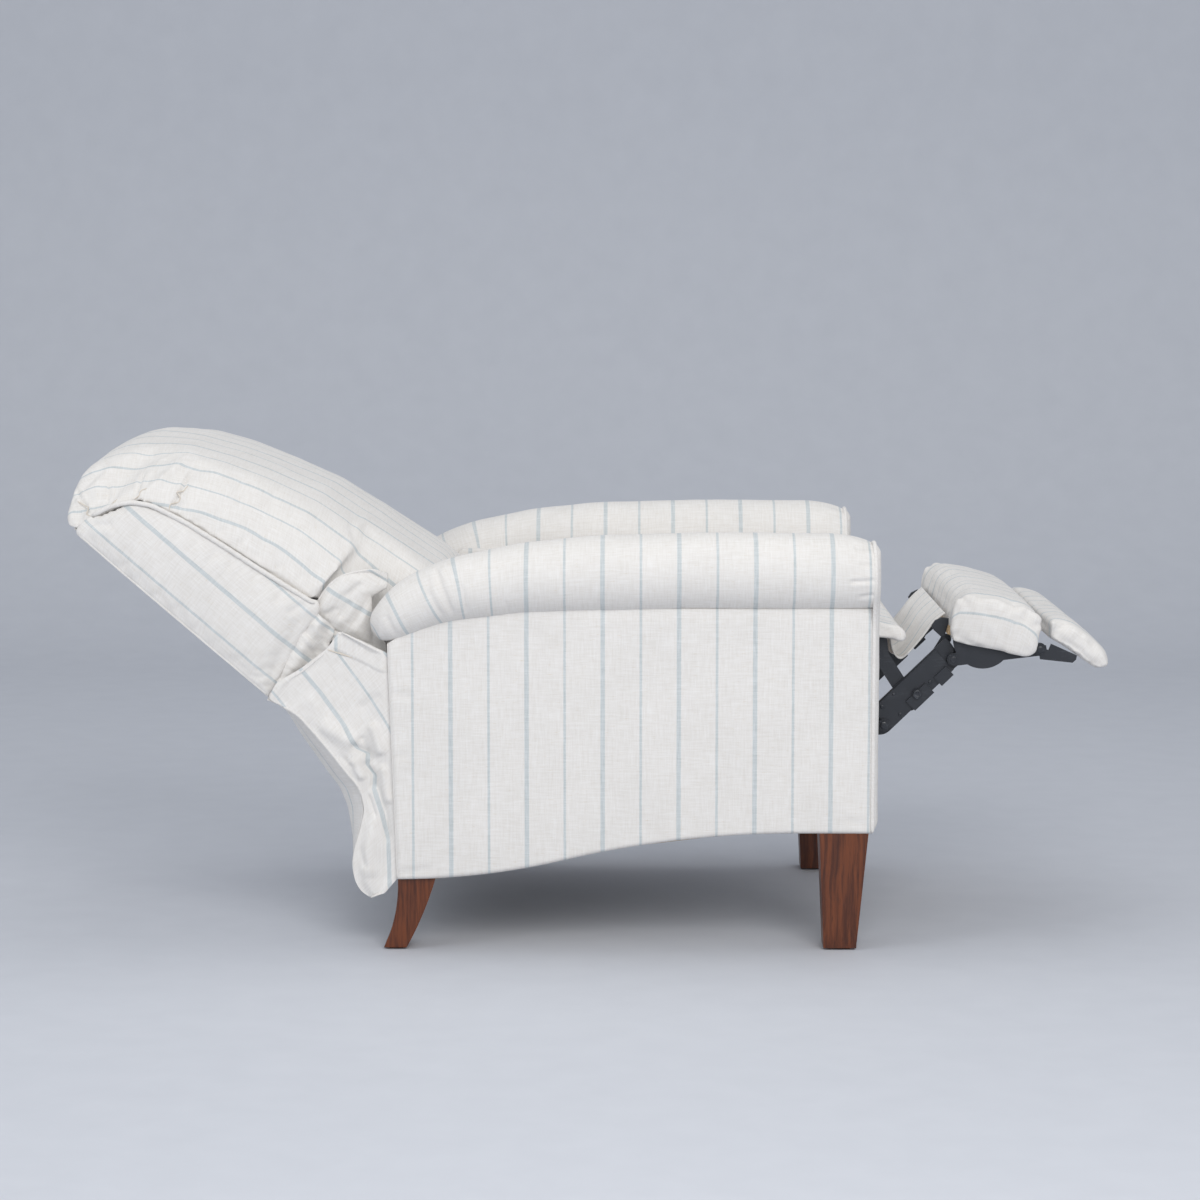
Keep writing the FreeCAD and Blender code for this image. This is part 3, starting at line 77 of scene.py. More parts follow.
class Graph:
    """A new material and short ways to add nodes to it."""

    def __init__(self, name):
        self.mat = bpy.data.materials.new(name)
        self.mat.use_nodes = True
        self.tree = self.mat.node_tree
        self.bsdf = self.tree.nodes["Principled BSDF"]

    def feed(self, socket, value):
        """Gives a socket another node's output or a plain value."""
        if isinstance(value, bpy.types.NodeSocket):
            self.tree.links.new(value, socket)
        else:
            socket.default_value = (*value, 1.0) if socket.type == "RGBA" else value

    def node(self, kind, output, inputs=None, **settings):
        n = self.tree.nodes.new(kind)
        for key, value in settings.items():
            setattr(n, key, value)
        for key, value in (inputs or {}).items():
            self.feed(n.inputs[key], value)
        return n.outputs[output]

    def noise(self, vector, scale=1.0, detail=2.0, roughness=0.5, output="Fac"):
        return self.node("ShaderNodeTexNoise", output,
                         {"Vector": vector, "Scale": scale, "Detail": detail, "Roughness": roughness})

    def maths(self, operation, a, b=0.0):
        return self.node("ShaderNodeMath", 0, {0: a, 1: b}, operation=operation)

    def stretched(self, vector, scale):
        return self.node("ShaderNodeVectorMath", 0, {0: vector, 1: scale}, operation="MULTIPLY")

    def spread(self, value, low, high, to_low, to_high, kind="LINEAR"):
        """Maps one span of values onto another and stops at its ends."""
        spans = {"Value": value, "From Min": low, "From Max": high, "To Min": to_low, "To Max": to_high}
        return self.node("ShaderNodeMapRange", "Result", spans, interpolation_type=kind)

    def mix(self, factor, a, b, blend="MIX"):
        return self.node("ShaderNodeMix", 2, {0: factor, 6: a, 7: b}, data_type="RGBA", blend_type=blend)

    def finish(self, colour, roughness, height, strength, distance, more=None):
        bump = self.node("ShaderNodeBump", 0, {"Height": height, "Strength": strength, "Distance": distance})
        for key, value in {"Base Color": colour, "Roughness": roughness, "Normal": bump, **(more or {})}.items():
            self.feed(self.bsdf.inputs[key], value)
        return self.mat


def cloth_material(name, striped=False, cream=(0.782, 0.766, 0.750)):
    """Woven linen look: the cloth attribute is (across the stripes, along them, 0) in metres."""
    g = Graph(name)
    cloth = g.node("ShaderNodeAttribute", "Vector", attribute_name="cloth")
    warp, weft, slub, thick_warp, thick_weft = (
        g.noise(g.stretched(cloth, (across, along, 1.0)), 1.0, detail, roughness)
        for across, along, detail, roughness in ((1150.0, 42.0, 3.0, 0.65), (46.0, 1000.0, 3.0, 0.65),
                                                 (95.0, 620.0, 2.0, 0.5), (330.0, 28.0, 2.0, 0.5),
                                                 (30.0, 300.0, 2.0, 0.5)))
    patch = g.noise(cloth, 9.0, 3.0, 0.6)
    fine, coarse = g.maths("ADD", warp, weft), g.maths("ADD", thick_warp, thick_weft)
    threads = g.maths("ADD", g.maths("MULTIPLY", fine, 0.28), g.maths("MULTIPLY", coarse, 0.22))
    tan = tuple(c * k for c, k in zip(cream, (0.86, 0.78, 0.66)))
    colour = g.mix(g.spread(slub, 0.64, 0.76, 0.0, 0.55), cream, tan)
    if striped:
        ragged = g.maths("MULTIPLY", g.maths("SUBTRACT", weft, 0.5), 0.0022)
        across = g.maths("ADD", g.node("ShaderNodeSeparateXYZ", 0, {0: cloth}), ragged)
        masks = []
        for offset, width in ((0.0, WIDE), (PITCH, THIN)):
            wrapped = g.maths("FLOORED_MODULO", g.maths("ADD", across, PITCH - offset), 2 * PITCH)
            away = g.maths("ABSOLUTE", g.maths("SUBTRACT", wrapped, PITCH))
            masks.append(g.spread(away, width / 2 - 0.0006, width / 2 + 0.0007, 1.0, 0.0, "SMOOTHSTEP"))
        broken = g.spread(threads, 0.38, 0.6, 1.0, 0.62)
        colour = g.mix(g.maths("MULTIPLY", g.maths("MAXIMUM", *masks), broken), colour, STRIPE_BLUE)
    tint = g.mix(g.spread(threads, 0.38, 0.62, 0.0, 1.0), (0.905, 0.885, 0.855), (1.05, 1.05, 1.05))
    colour = g.mix(1.0, colour, tint, "MULTIPLY")
    colour = g.mix(1.0, colour, g.spread(patch, 0.3, 0.7, 0.97, 1.02), "MULTIPLY")
    return g.finish(colour, g.spread(threads, 0.3, 0.7, 0.93, 0.82), threads, 0.35, 0.0012,
                    {"Sheen Weight": 0.12, "Sheen Roughness": 0.5, "Specular IOR Level": 0.25})


def wood_material(name, dark, light, gloss, grain=1.0):
    """Growth rings along the piece, bent a little, with fine pores."""
    g = Graph(name)
    place = g.node("ShaderNodeTexCoord", "Object")
    bend = g.noise(place, 7.0, output="Color")
    shifted = g.node("ShaderNodeVectorMath", 0, {0: bend, 1: (0.018, 0.018, 0.0), 2: place}, operation="MULTIPLY_ADD")
    rings = g.noise(g.stretched(shifted, (170.0 * grain, 170.0 * grain, 8.0)), 1.0, 5.0, 0.62)
    pores = g.noise(g.stretched(place, (1400.0, 1400.0, 45.0)))
    colour = g.mix(g.spread(rings, 0.33, 0.68, 0.0, 1.0, "SMOOTHSTEP"), dark, light)
    colour = g.mix(1.0, colour, g.spread(pores, 0.55, 0.72, 1.0, 0.62), "MULTIPLY")
    return g.finish(colour, g.spread(rings, 0.0, 1.0, gloss + 0.08, gloss - 0.05), pores, 0.12, 0.0005)


def painted_material(name, base, worn, rough_low, rough_high):
    """Painted steel or moulded plastic: a fine orange peel, faint dust and a few rubbed places."""
    g = Graph(name)
    place = g.node("ShaderNodeTexCoord", "Object")
    cloud = g.noise(place, 38.0, 5.0, 0.65)
    scratch = g.noise(g.stretched(place, (60.0, 1500.0, 900.0)), 1.0, 3.0)
    rubbed = g.spread(g.maths("MULTIPLY", cloud, scratch), 0.30, 0.44, 0.0, 0.6)
    return g.finish(g.mix(rubbed, base, worn), g.spread(cloud, 0.3, 0.7, rough_low, rough_high),
                    g.noise(place, 900.0), 0.08, 0.0003)


STRIPED = cloth_material("striped_linen", striped=True)
PLAIN = cloth_material("plain_linen")
LINING = cloth_material("lining_cloth", cream=(0.30, 0.29, 0.28))
JUTE = cloth_material("jute_strap", cream=(0.42, 0.31, 0.19))
THREAD = cloth_material("sewing_thread", cream=(0.72, 0.66, 0.58))
LEG_WOOD = wood_material("leg_wood", (0.058, 0.012, 0.003), (0.160, 0.040, 0.010), 0.36)
FRAME_WOOD = wood_material("frame_wood", (0.44, 0.29, 0.15), (0.66, 0.49, 0.30), 0.62, 0.6)
STEEL = painted_material("mechanism_steel", (0.018, 0.021, 0.028), (0.050, 0.056, 0.068), 0.30, 0.46)
RIVET = painted_material("rivet_steel", (0.018, 0.021, 0.028), (0.13, 0.14, 0.16), 0.26, 0.4)
GLIDE = painted_material("glide_plastic", (0.020, 0.017, 0.016), (0.045, 0.040, 0.038), 0.45, 0.6)


# Mesh tools


def ease(t):
    t = np.clip(t, 0.0, 1.0)
    return t * t * (3 - 2 * t)


def noise(co, scale, seed=0.0):
    shift = Vector((seed * 17.3, seed * 5.1, seed * 9.7))
    return np.array([mnoise.noise(Vector(p) * scale + shift) for p in co])


def coords(ob):
    co = np.empty(len(ob.data.vertices) * 3)
    ob.data.vertices.foreach_get("co", co)
    return co.reshape(-1, 3)


def normals(ob):
    n = np.empty(len(ob.data.vertices) * 3)
    ob.data.vertex_normals.foreach_get("vector", n)
    return n.reshape(-1, 3)


def put(ob, co):
    ob.data.vertices.foreach_set("co", co.astype(np.float32).ravel())
    ob.data.update()


def set_cloth(ob, across, along):
    """Stores how far each point lies across and along the stripes."""
    data = np.zeros((len(ob.data.vertices), 3), np.float32)
    data[:, 0] = across
    data[:, 1] = along
    made = ob.data.attributes.new("cloth", "FLOAT_VECTOR", "POINT")
    made.data.foreach_set("vector", data.ravel())


def mesh_object(name, co, faces, mat, across=None, along=None, fix=True):
    me = bpy.data.meshes.new(name)
    me.from_pydata([tuple(map(float, c)) for c in co], [], [tuple(f) for f in faces])
    if fix:
        bm = bmesh.new()
        bm.from_mesh(me)
        bmesh.ops.recalc_face_normals(bm, faces=bm.faces)
        bm.to_mesh(me)
        bm.free()
    me.polygons.foreach_set("use_smooth", [True] * len(me.polygons))
    me.materials.append(mat)
    ob = bpy.data.objects.new(name, me)
    SCENE.collection.objects.link(ob)
    if across is not None:
        set_cloth(ob, across, along)
    return ob


def grid_faces(nu, nv, wrap_v=False, offset=0):
    span = nv if wrap_v else nv - 1
    return [(offset + i * nv + j, offset + i * nv + (j + 1) % nv, offset + (i + 1) * nv + (j + 1) % nv,
             offset + (i + 1) * nv + j) for i in range(nu - 1) for j in range(span)]


def run_length(points):
    """How far along a line each of its points lies."""
    return np.concatenate([[0], np.cumsum(np.linalg.norm(np.diff(points, axis=0), axis=1))])


def resample(points, step):
    points = np.array(points, float)
    at = run_length(points)
    want = np.linspace(0, at[-1], max(3, int(round(at[-1] / step)) + 1))
    return np.stack([np.interp(want, at, points[:, k]) for k in range(points.shape[1])], axis=1)


def smooth_line(points, step, rounds):
    """Even points along a line, its corners eased, its ends kept."""
    line = resample(points, step)
    for _ in range(rounds):
        line[1:-1] = line[1:-1] * 0.5 + (line[:-2] + line[2:]) * 0.25
    return line


def tube(name, points, radius, mat, sides=10, step=0.004, rounds=6):
    """Piping: a soft round cord sewn along a line, its ends drawn in."""
    line = smooth_line(points, step, rounds)
    count = len(line)
    run = np.gradient(line, axis=0)
    run /= np.linalg.norm(run, axis=1)[:, None] + 1e-12
    side = np.cross(run[0], (0.3, 0.1, 1.0))
    a = np.empty_like(run)
    for i, t in enumerate(run):
        side = side - t * (side @ t)
        side /= np.linalg.norm(side)
        a[i] = side
    b = np.cross(run, a)
    size = np.full(count, radius) * (1 + 0.05 * np.sin(np.arange(count) * 1.7))
    for i, share in enumerate((0.25, 0.75, 0.95)):
        size[i] *= share
        size[-1 - i] *= share
    angle = np.linspace(0, 2 * math.pi, sides, endpoint=False)
    turn = np.cos(angle)[None, :, None] * a[:, None, :] + np.sin(angle)[None, :, None] * b[:, None, :]
    co = (line[:, None, :] + size[:, None, None] * turn).reshape(-1, 3)
    faces = grid_faces(count, sides, True)
    faces += [tuple(range(sides))[::-1], tuple((count - 1) * sides + j for j in range(sides))]
    along = np.repeat(run_length(line), sides)
    return mesh_object(name, co, faces, mat, np.tile(angle * radius, count) + along * 0.7, along)


def shell(name, outer, inner, mat=None, across=None, along=None):
    """A closed piece from two grids of points, joined along their edges."""
    nu, nv = outer.shape[:2]
    count = nu * nv
    faces = grid_faces(nu, nv) + [f[::-1] for f in grid_faces(nu, nv, offset=count)]
    rim = list(range(nv)) + [i * nv + nv - 1 for i in range(1, nu)]
    rim += [(nu - 1) * nv + j for j in range(nv - 2, -1, -1)] + [i * nv for i in range(nu - 2, 0, -1)]
    faces += [(a, b, count + b, count + a) for a, b in zip(rim, rim[1:] + rim[:1])]
    co = np.vstack([outer.reshape(-1, 3), inner.reshape(-1, 3)])
    return mesh_object(name, co, faces, mat or STRIPED, across, along)


def lap_sheet(name, grid, thickness, mat, across, along):
    """Cloth with two faces and closed edges, from a grid of points."""
    n = np.cross(np.gradient(grid, axis=0), np.gradient(grid, axis=1))
    n *= thickness / 2 / (np.linalg.norm(n, axis=2)[:, :, None] + 1e-12)
    return shell(name, grid + n, grid - n, mat, np.tile(across.ravel(), 2), np.tile(along.ravel(), 2))


def relax(ob, rounds):
    """Rounds off a mesh without shrinking it."""
    me = ob.data
    edges = np.empty(len(me.edges) * 2, np.int64)
    me.edges.foreach_get("vertices", edges)
    edges = edges.reshape(-1, 2)
    co = coords(ob)
    count = np.bincount(edges.ravel(), minlength=len(co)).astype(float)[:, None]
    for _ in range(rounds):
        for weight in (0.5, -0.53):
            total = np.zeros_like(co)
            for k in range(3):
                total[:, k] = (np.bincount(edges[:, 0], weights=co[edges[:, 1], k], minlength=len(co))
                               + np.bincount(edges[:, 1], weights=co[edges[:, 0], k], minlength=len(co)))
            co = co + weight * (total / np.maximum(count, 1) - co)
    put(ob, co)


def bake_modifiers(ob):
    graph = bpy.context.evaluated_depsgraph_get()
    made = bpy.data.meshes.new_from_object(ob.evaluated_get(graph))
    ob.modifiers.clear()
    ob.data = made


def closed_over(name):
    """A solid's end outline run through from side to side, so that the slots under it are closed."""
    co = np.array([v.co for v in NODES[name].data.vertices])
    half = co[:, 1].max()
    line = co[co[:, 1] > half - 1e-5][:, [0, 2]]
    line = np.unique(line.round(6), axis=0)
    middle = line.mean(axis=0)
    line = line[np.argsort(np.arctan2(line[:, 1] - middle[1], line[:, 0] - middle[0]))]
    bm = bmesh.new()
    left, right = [[bm.verts.new((x, y, z)) for x, z in line] for y in (half, -half)]
    bm.faces.new(left)
    bm.faces.new(right[::-1])
    for i in range(len(line)):
        bm.faces.new((left[i - 1], right[i - 1], right[i], left[i]))
    bmesh.ops.recalc_face_normals(bm, faces=bm.faces)
    return bm


def remeshed(name, nodes, voxel, mat, rounds, shrink=0.0, closed=False):
    """A fresh even mesh over the space of some CAD solids."""
    if closed:
        bm = closed_over(nodes[0])
    else:
        bm = bmesh.new()
        for n in nodes:
            bm.from_mesh(NODES[n].data)
        bmesh.ops.remove_doubles(bm, verts=bm.verts, dist=1e-5)
    me = bpy.data.meshes.new(name)
    bm.to_mesh(me)
    bm.free()
    ob = bpy.data.objects.new(name, me)
    SCENE.collection.objects.link(ob)
    mod = ob.modifiers.new("even", "REMESH")
    mod.mode = "VOXEL"
    mod.voxel_size = voxel
    bake_modifiers(ob)
    relax(ob, rounds)
    if shrink:
        put(ob, coords(ob) - normals(ob) * shrink)
    ob.data.materials.clear()
    ob.data.materials.append(mat)
    return ob


def swell(ob, cap, pressure, pinned, grow):
    """Blows the cover up from inside as cloth, and keeps every point within a cap of its start."""
    start = coords(ob)
    mod = ob.modifiers.new("cloth", "CLOTH")
    s = mod.settings
    s.quality = 4
    s.mass = 0.3
    s.tension_stiffness = s.compression_stiffness = 15.0
    s.shear_stiffness = 5.0
    s.bending_stiffness = 0.3
    s.use_pressure = True
    s.uniform_pressure_force = pressure
    s.effector_weights.gravity = 0.0
    s.shrink_min = -grow
    group = ob.vertex_groups.new(name="pinned")
    group.add([int(i) for i in np.nonzero(pinned)[0]], 1.0, "REPLACE")
    s.vertex_group_mass = "pinned"
    mod.point_cache.frame_start = 1
    mod.point_cache.frame_end = SWELL_FRAMES
    for f in range(1, SWELL_FRAMES + 1):
        SCENE.frame_set(f)
    held = ob.evaluated_get(bpy.context.evaluated_depsgraph_get())
    me = held.to_mesh()
    co = np.empty(len(me.vertices) * 3)
    me.vertices.foreach_get("co", co)
    co = co.reshape(-1, 3)
    held.to_mesh_clear()
    ob.modifiers.remove(mod)
    ob.vertex_groups.clear()
    move = co - start
    size = np.linalg.norm(move, axis=1)[:, None] + 1e-12
    put(ob, start + move / size * cap * np.tanh(size / cap))
    SCENE.frame_set(1)


def finer(ob):
    mod = ob.modifiers.new("finer", "SUBSURF")
    mod.levels = mod.render_levels = 1
    bake_modifiers(ob)
    ob.data.polygons.foreach_set("use_smooth", [True] * len(ob.data.polygons))


def to_line(p, a, b):
    """Distance from a line's stretch, and how far along it, for points in a plane."""
    a, b = np.array(a, float), np.array(b, float)
    run = b - a
    t = np.clip(((p - a) @ run) / (run @ run), 0, 1)
    return np.linalg.norm(p - (a + t[:, None] * run), axis=1), t


def crease(plane, a, b, depth, width, ridge=0.35):
    """How far in a fold pushes the cover: a groove with a soft ridge each side."""
    away, t = to_line(plane, a, b)
    fade = ease(np.minimum(t, 1 - t) * 5 + 0.25)
    groove = np.exp(-(away / width) ** 2)
    banks = np.exp(-((away - 2.2 * width) / (1.3 * width)) ** 2)
    return depth * fade * (ridge * banks - groove)


def creases(plane, folds, *width):
    return sum(crease(plane, a, b, depth, *(own or width)) for a, b, depth, *own in folds)


def hug(ob, points, lift):
    """Points laid on a piece's surface."""
    out = []
    for point in points:
        found, place, normal, _ = ob.closest_point_on_mesh(Vector(point))
        out.append(np.array(place + normal * lift) if found else np.array(point))
    return out


def mirror_piece(ob, name):
    me = ob.data.copy()
    made = bpy.data.objects.new(name, me)
    SCENE.collection.objects.link(made)
    co = coords(made)
    co[:, 1] *= -1
    me.vertices.foreach_set("co", co.astype(np.float32).ravel())
    me.flip_normals()
    me.update()
    return made


def dress(ob, body=None, nodes=()):
    """Says what a piece moves with, and hides the CAD nodes that it stands for."""
    if body:
        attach(ob, body)
    if nodes:
        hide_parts(*nodes)
    return ob


def dress_pair(ob, name, body, node_name):
    """Dresses a right hand piece, and mirrors it for the left."""
    dress(ob, body, nodes=[node_name.format("right")])
    return dress(mirror_piece(ob, name.format("left")), body, nodes=[node_name.format("left")])


# The back's own frame: x forward from the outside back, z up along it


LEAN = math.radians(49.2)
FOOT = np.array([-0.486, 0.0, 0.386])
UP_BACK = np.array([-math.sin(LEAN), 0.0, math.cos(LEAN)])
OUT_BACK = np.array([math.cos(LEAN), 0.0, math.sin(LEAN)])


def in_back(ob):
    """A piece's points, and how far each lies forward and up in the back's frame."""
    co = coords(ob)
    d = co - FOOT
    return co, d @ OUT_BACK, d @ UP_BACK


def from_back(x, y, z):
    x, y, z = (np.asarray(v, float) for v in (x, y, z))
    return FOOT + x[..., None] * OUT_BACK + z[..., None] * UP_BACK + y[..., None] * np.array([0.0, 1.0, 0.0])


# Back cushion, its seam and crown as heights up the back in metres


SEAM = np.array([(-0.06, 0.168), (0.040, 0.161), (0.086, 0.154), (0.139, 0.146), (0.200, 0.138), (0.271, 0.127),
                 (0.327, 0.113), (0.355, 0.095), (0.374, 0.070), (0.386, 0.040), (0.390, 0.005)])
STRIPE_LINE = np.array([(-0.20, 0.190), (-0.034, 0.198), (0.047, 0.203), (0.126, 0.202), (0.194, 0.188),
                        (0.260, 0.159), (0.316, 0.122), (0.361, 0.088), (0.411, 0.040), (0.434, 0.0), (0.47, -0.05)])
CROWN = np.array([(-0.20, 0.300), (0.0445, 0.298), (0.139, 0.285), (0.219, 0.260), (0.284, 0.236), (0.344, 0.207),
                  (0.377, 0.186), (0.401, 0.168), (0.422, 0.145), (0.436, 0.116), (0.45, 0.085)])
BACK_HALF = 0.315
STRIPE_SHIFT = 0.0845    # a wide stripe on the wing, forward of the outside back
CROWN_RISE = 7 * PITCH - BACK_HALF
GATHERS = [((0.047, 0.434), (0.036, 0.388)), ((0.098, 0.409), (0.066, 0.378)), ((0.140, 0.373), (0.100, 0.350)),
           ((0.190, 0.316), (0.122, 0.298))]


def back_cushion():
    ob = remeshed("back_cushion_cover", ["back_cushion"], 0.007, STRIPED, shrink=0.002, rounds=3)
    _, x, z = in_back(ob)
    hidden = (x < np.interp(z, SEAM[:, 0], SEAM[:, 1]) + 0.004) & (z < 0.392)
    swell(ob, 0.010, pressure=4.0, pinned=hidden, grow=0.012)
    finer(ob)
    co, x, z = in_back(ob)
    n = normals(ob)
    side = ease((np.abs(co[:, 1]) - 0.245) / 0.045)
    plane = np.stack([x, z], axis=1)
    push = np.zeros(len(co))
    for i, (a, b) in enumerate(GATHERS):
        push += crease(plane, a, b, 0.0040 if i == 3 else 0.0030, 0.0024, ridge=0.5) * side
    for i in range(9):
        start = 0.325 - i * 0.034
        seam = np.interp(start, SEAM[:, 0], SEAM[:, 1])
        end = (seam + 0.022 + 0.006 * math.sin(i * 2.1), start - 0.006)
        push += crease(plane, (seam, start), end, 0.0011, 0.004) * side
    push += noise(co, 9.0, 1.0) * 0.0022 + noise(co, 24.0, 2.0) * 0.0008
    free = ease((x - np.interp(z, SEAM[:, 0], SEAM[:, 1])) / 0.02)
    put(ob, co + n * (push * np.maximum(free, 0.15))[:, None])
    co, x, z = in_back(ob)
    tip = np.exp(-((x + 0.004) / 0.016) ** 2 - ((z - 0.396) / 0.016) ** 2)
    hang = ease((np.abs(co[:, 1]) - 0.262) / 0.02) * np.exp(-((z - 0.014) / 0.012) ** 2) * ease((x - 0.165) / 0.02)
    put(ob, co + OUT_BACK * (tip * 0.005)[:, None] - UP_BACK * (hang * 0.011)[:, None])
    co, x, z = in_back(ob)
    low = np.interp(z, STRIPE_LINE[:, 0], STRIPE_LINE[:, 1])
    high = np.interp(z, CROWN[:, 0], CROWN[:, 1])
    share = np.minimum((x - low) / (high - low), 1.0)
    share = np.where(share > 0, share, (x - low) / CROWN_RISE)
    inward = BACK_HALF - np.abs(co[:, 1])
    set_cloth(ob, share * CROWN_RISE + inward, z + (high - x) * 0.5)
    dress(ob, "back", nodes=["back_cushion"])
    run = np.gradient(SEAM, axis=0)
    inset = 0.0028 * np.stack([run[:, 1], -run[:, 0]], axis=1) / np.linalg.norm(run, axis=1)[:, None]
    line = [from_back(s, -BACK_HALF - 0.0028, h) for h, s in (SEAM + inset)[1:-1]]
    for sign, name in SIDES:
        flip = np.array([1, sign, 1])
        dress(tube("back_welt_" + name, [p * flip for p in line], 0.0038, PLAIN), "back")
        for i, (a, b) in enumerate(GATHERS):
            row = from_back(np.linspace(a[0], b[0], 9), np.full(9, -0.330) * sign, np.linspace(a[1], b[1], 9))
            dress(tube(f"back_dart_{i}_{name}", hug(ob, row, 0.0003), 0.0008, THREAD, sides=6, step=0.002, rounds=2),
                  "back")


PANEL = np.array([(0.0, 0.0), (0.177, 0.023), (0.476, 0.06), (0.67, 0.075), (0.94, 0.074), (1.0, 0.096),
                  (0.933, 0.22), (0.884, 0.36), (0.841, 0.513), (0.80, 0.653), (0.713, 0.806), (0.628, 0.883),
                  (0.524, 0.938), (0.39, 0.977), (0.28, 0.995), (0.19, 1.0), (0.0, 0.982)]) * (0.164, 0.386)


def edge_distance(plane, outline):
    best = np.full(len(plane), 9.0)
    for a, b in zip(outline, np.roll(outline, -1, axis=0)):
        best = np.minimum(best, to_line(plane, a, b)[0])
    return best


def side_panels():
    ob = remeshed("back_wing_right", ["back_side_panel_right"], 0.004, STRIPED, rounds=4)
    co, x, z = in_back(ob)
    away = edge_distance(np.stack([x, z], axis=1), PANEL)
    swell(ob, 0.007, pressure=5.0, pinned=(away < 0.005) | (co[:, 1] > -0.306), grow=0.02)
    finer(ob)
    co, x, z = in_back(ob)
    plane = np.stack([x, z], axis=1)
    away = edge_distance(plane, PANEL)
    outer = ease((-0.309 - co[:, 1]) / 0.004)
    rise = 0.0055 * (1 - np.exp(-away / 0.016)) + noise(co, 13.0, 3.0) * 0.0012
    folds = (((0.150, 0.050), (0.120, 0.062), 0.002), ((0.010, 0.012), (0.060, 0.030), 0.0016),
             ((0.030, 0.372), (0.050, 0.350), 0.0018), ((0.070, 0.368), (0.080, 0.348), 0.0014),
             ((0.145, 0.090), (0.120, 0.086), 0.0016), ((0.135, 0.180), (0.112, 0.176), 0.0012),
             ((0.002, 0.200), (0.020, 0.198), 0.0010), ((0.002, 0.300), (0.022, 0.296), 0.0010))
    rise = rise + creases(plane, folds, 0.005)
    co[:, 1] -= rise * outer
    floor_z = np.interp(x, PANEL[:5, 0], PANEL[:5, 1])
    sag = 0.0065 * np.exp(-((z - floor_z) / 0.012) ** 2) * np.sin(np.clip(x / 0.16, 0, 1) * math.pi) ** 0.5
    peak = 0.008 * np.exp(-((x - 0.008) / 0.022) ** 2) * ease((z - 0.350) / 0.03)
    put(ob, co + UP_BACK * (peak - sag)[:, None])
    set_cloth(ob, x - STRIPE_SHIFT, z + co[:, 1])
    dress_pair(ob, "back_wing_{}", "back", "back_side_panel_{}")
    for sign, name in SIDES:
        rear = [(0.0030, 0.004), (0.0022, 0.10), (0.0020, 0.20), (0.0020, 0.30), (0.0030, 0.380)]
        line = [from_back(a, sign * -0.3148, b) for a, b in rear]
        dress(tube(f"wing_rear_seam_{name}", line, 0.0014, PLAIN, sides=8), "back")


def outside_back():
    ob = remeshed("outside_back_cover", ["outside_back"], 0.006, STRIPED, rounds=4)
    finer(ob)
    co, x, z = in_back(ob)
    outer = ease((0.006 - x) / 0.006)
    across = np.clip(1 - (np.abs(co[:, 1]) / 0.31) ** 4, 0, 1)
    crown = -0.0015 + 0.0025 * np.sin(np.clip(z / 0.378, 0, 1) * math.pi) * across
    co = co - OUT_BACK * ((crown + noise(co, 7.0, 6.0) * 0.0015) * outer)[:, None]
    stretch = 0.010 * ease((z - 0.340) / 0.036) - 0.004 * ease((0.030 - z) / 0.030)
    put(ob, co + UP_BACK * stretch[:, None])
    set_cloth(ob, co[:, 1], z)
    dress(ob, "back", nodes=["outside_back"])
    for name, x, z, radius, reach in (("top", 0.004, 0.3905, 0.0036, 0.300),
                                      ("foot", 0.001, -0.001, 0.0026, 0.312)):
        line = [from_back(x, y, z) for y in np.linspace(-reach, reach, 9)]
        dress(tube(f"outside_back_welt_{name}", line, radius, PLAIN), "back")


# Arms, made on the right and mirrored


ARM_FRONT, ROLL_LENGTH = 0.438, 0.761
# Along the roll: share of its length, crest, crease and half width
ROLL = np.array([(0.0, 0.85, 0.02, 0.95), (0.017, 0.905, 0.01, 0.985), (0.045, 0.96, 0.005, 1.0),
                 (0.078, 0.985, 0.0, 1.0), (0.346, 1.0, 0.0, 1.0),
                 (0.545, 0.966, -0.025, 1.0), (0.704, 0.866, -0.05, 1.0), (0.844, 0.68, -0.15, 0.98),
                 (0.905, 0.53, -0.286, 0.92), (0.957, 0.33, -0.41, 0.80), (0.984, 0.126, -0.395, 0.58),
                 (1.0, -0.025, -0.277, 0.25)])
ROLL_Y, CREASE_Z = 0.326, 0.523


def roll_at(t):
    """Crest, crease and half width along the roll, their corners eased."""
    out = []
    fine = np.linspace(0, 1, 401)
    for k, base, unit in ((1, CREASE_Z, 0.119), (2, CREASE_Z, 0.119), (3, 0.0, 0.060)):
        v = np.interp(fine, ROLL[:, 0], ROLL[:, k])
        w = v.copy()
        for _ in range(60):
            w[1:-1] = w[1:-1] * 0.5 + (w[:-2] + w[2:]) * 0.25
        blend = np.minimum(ease(fine / 0.03), ease((1 - fine) / 0.05))
        out.append(base + unit * np.interp(t, fine, v * (1 - blend) + w * blend))
    return out


def stripe_x(x):
    return x - 0.374


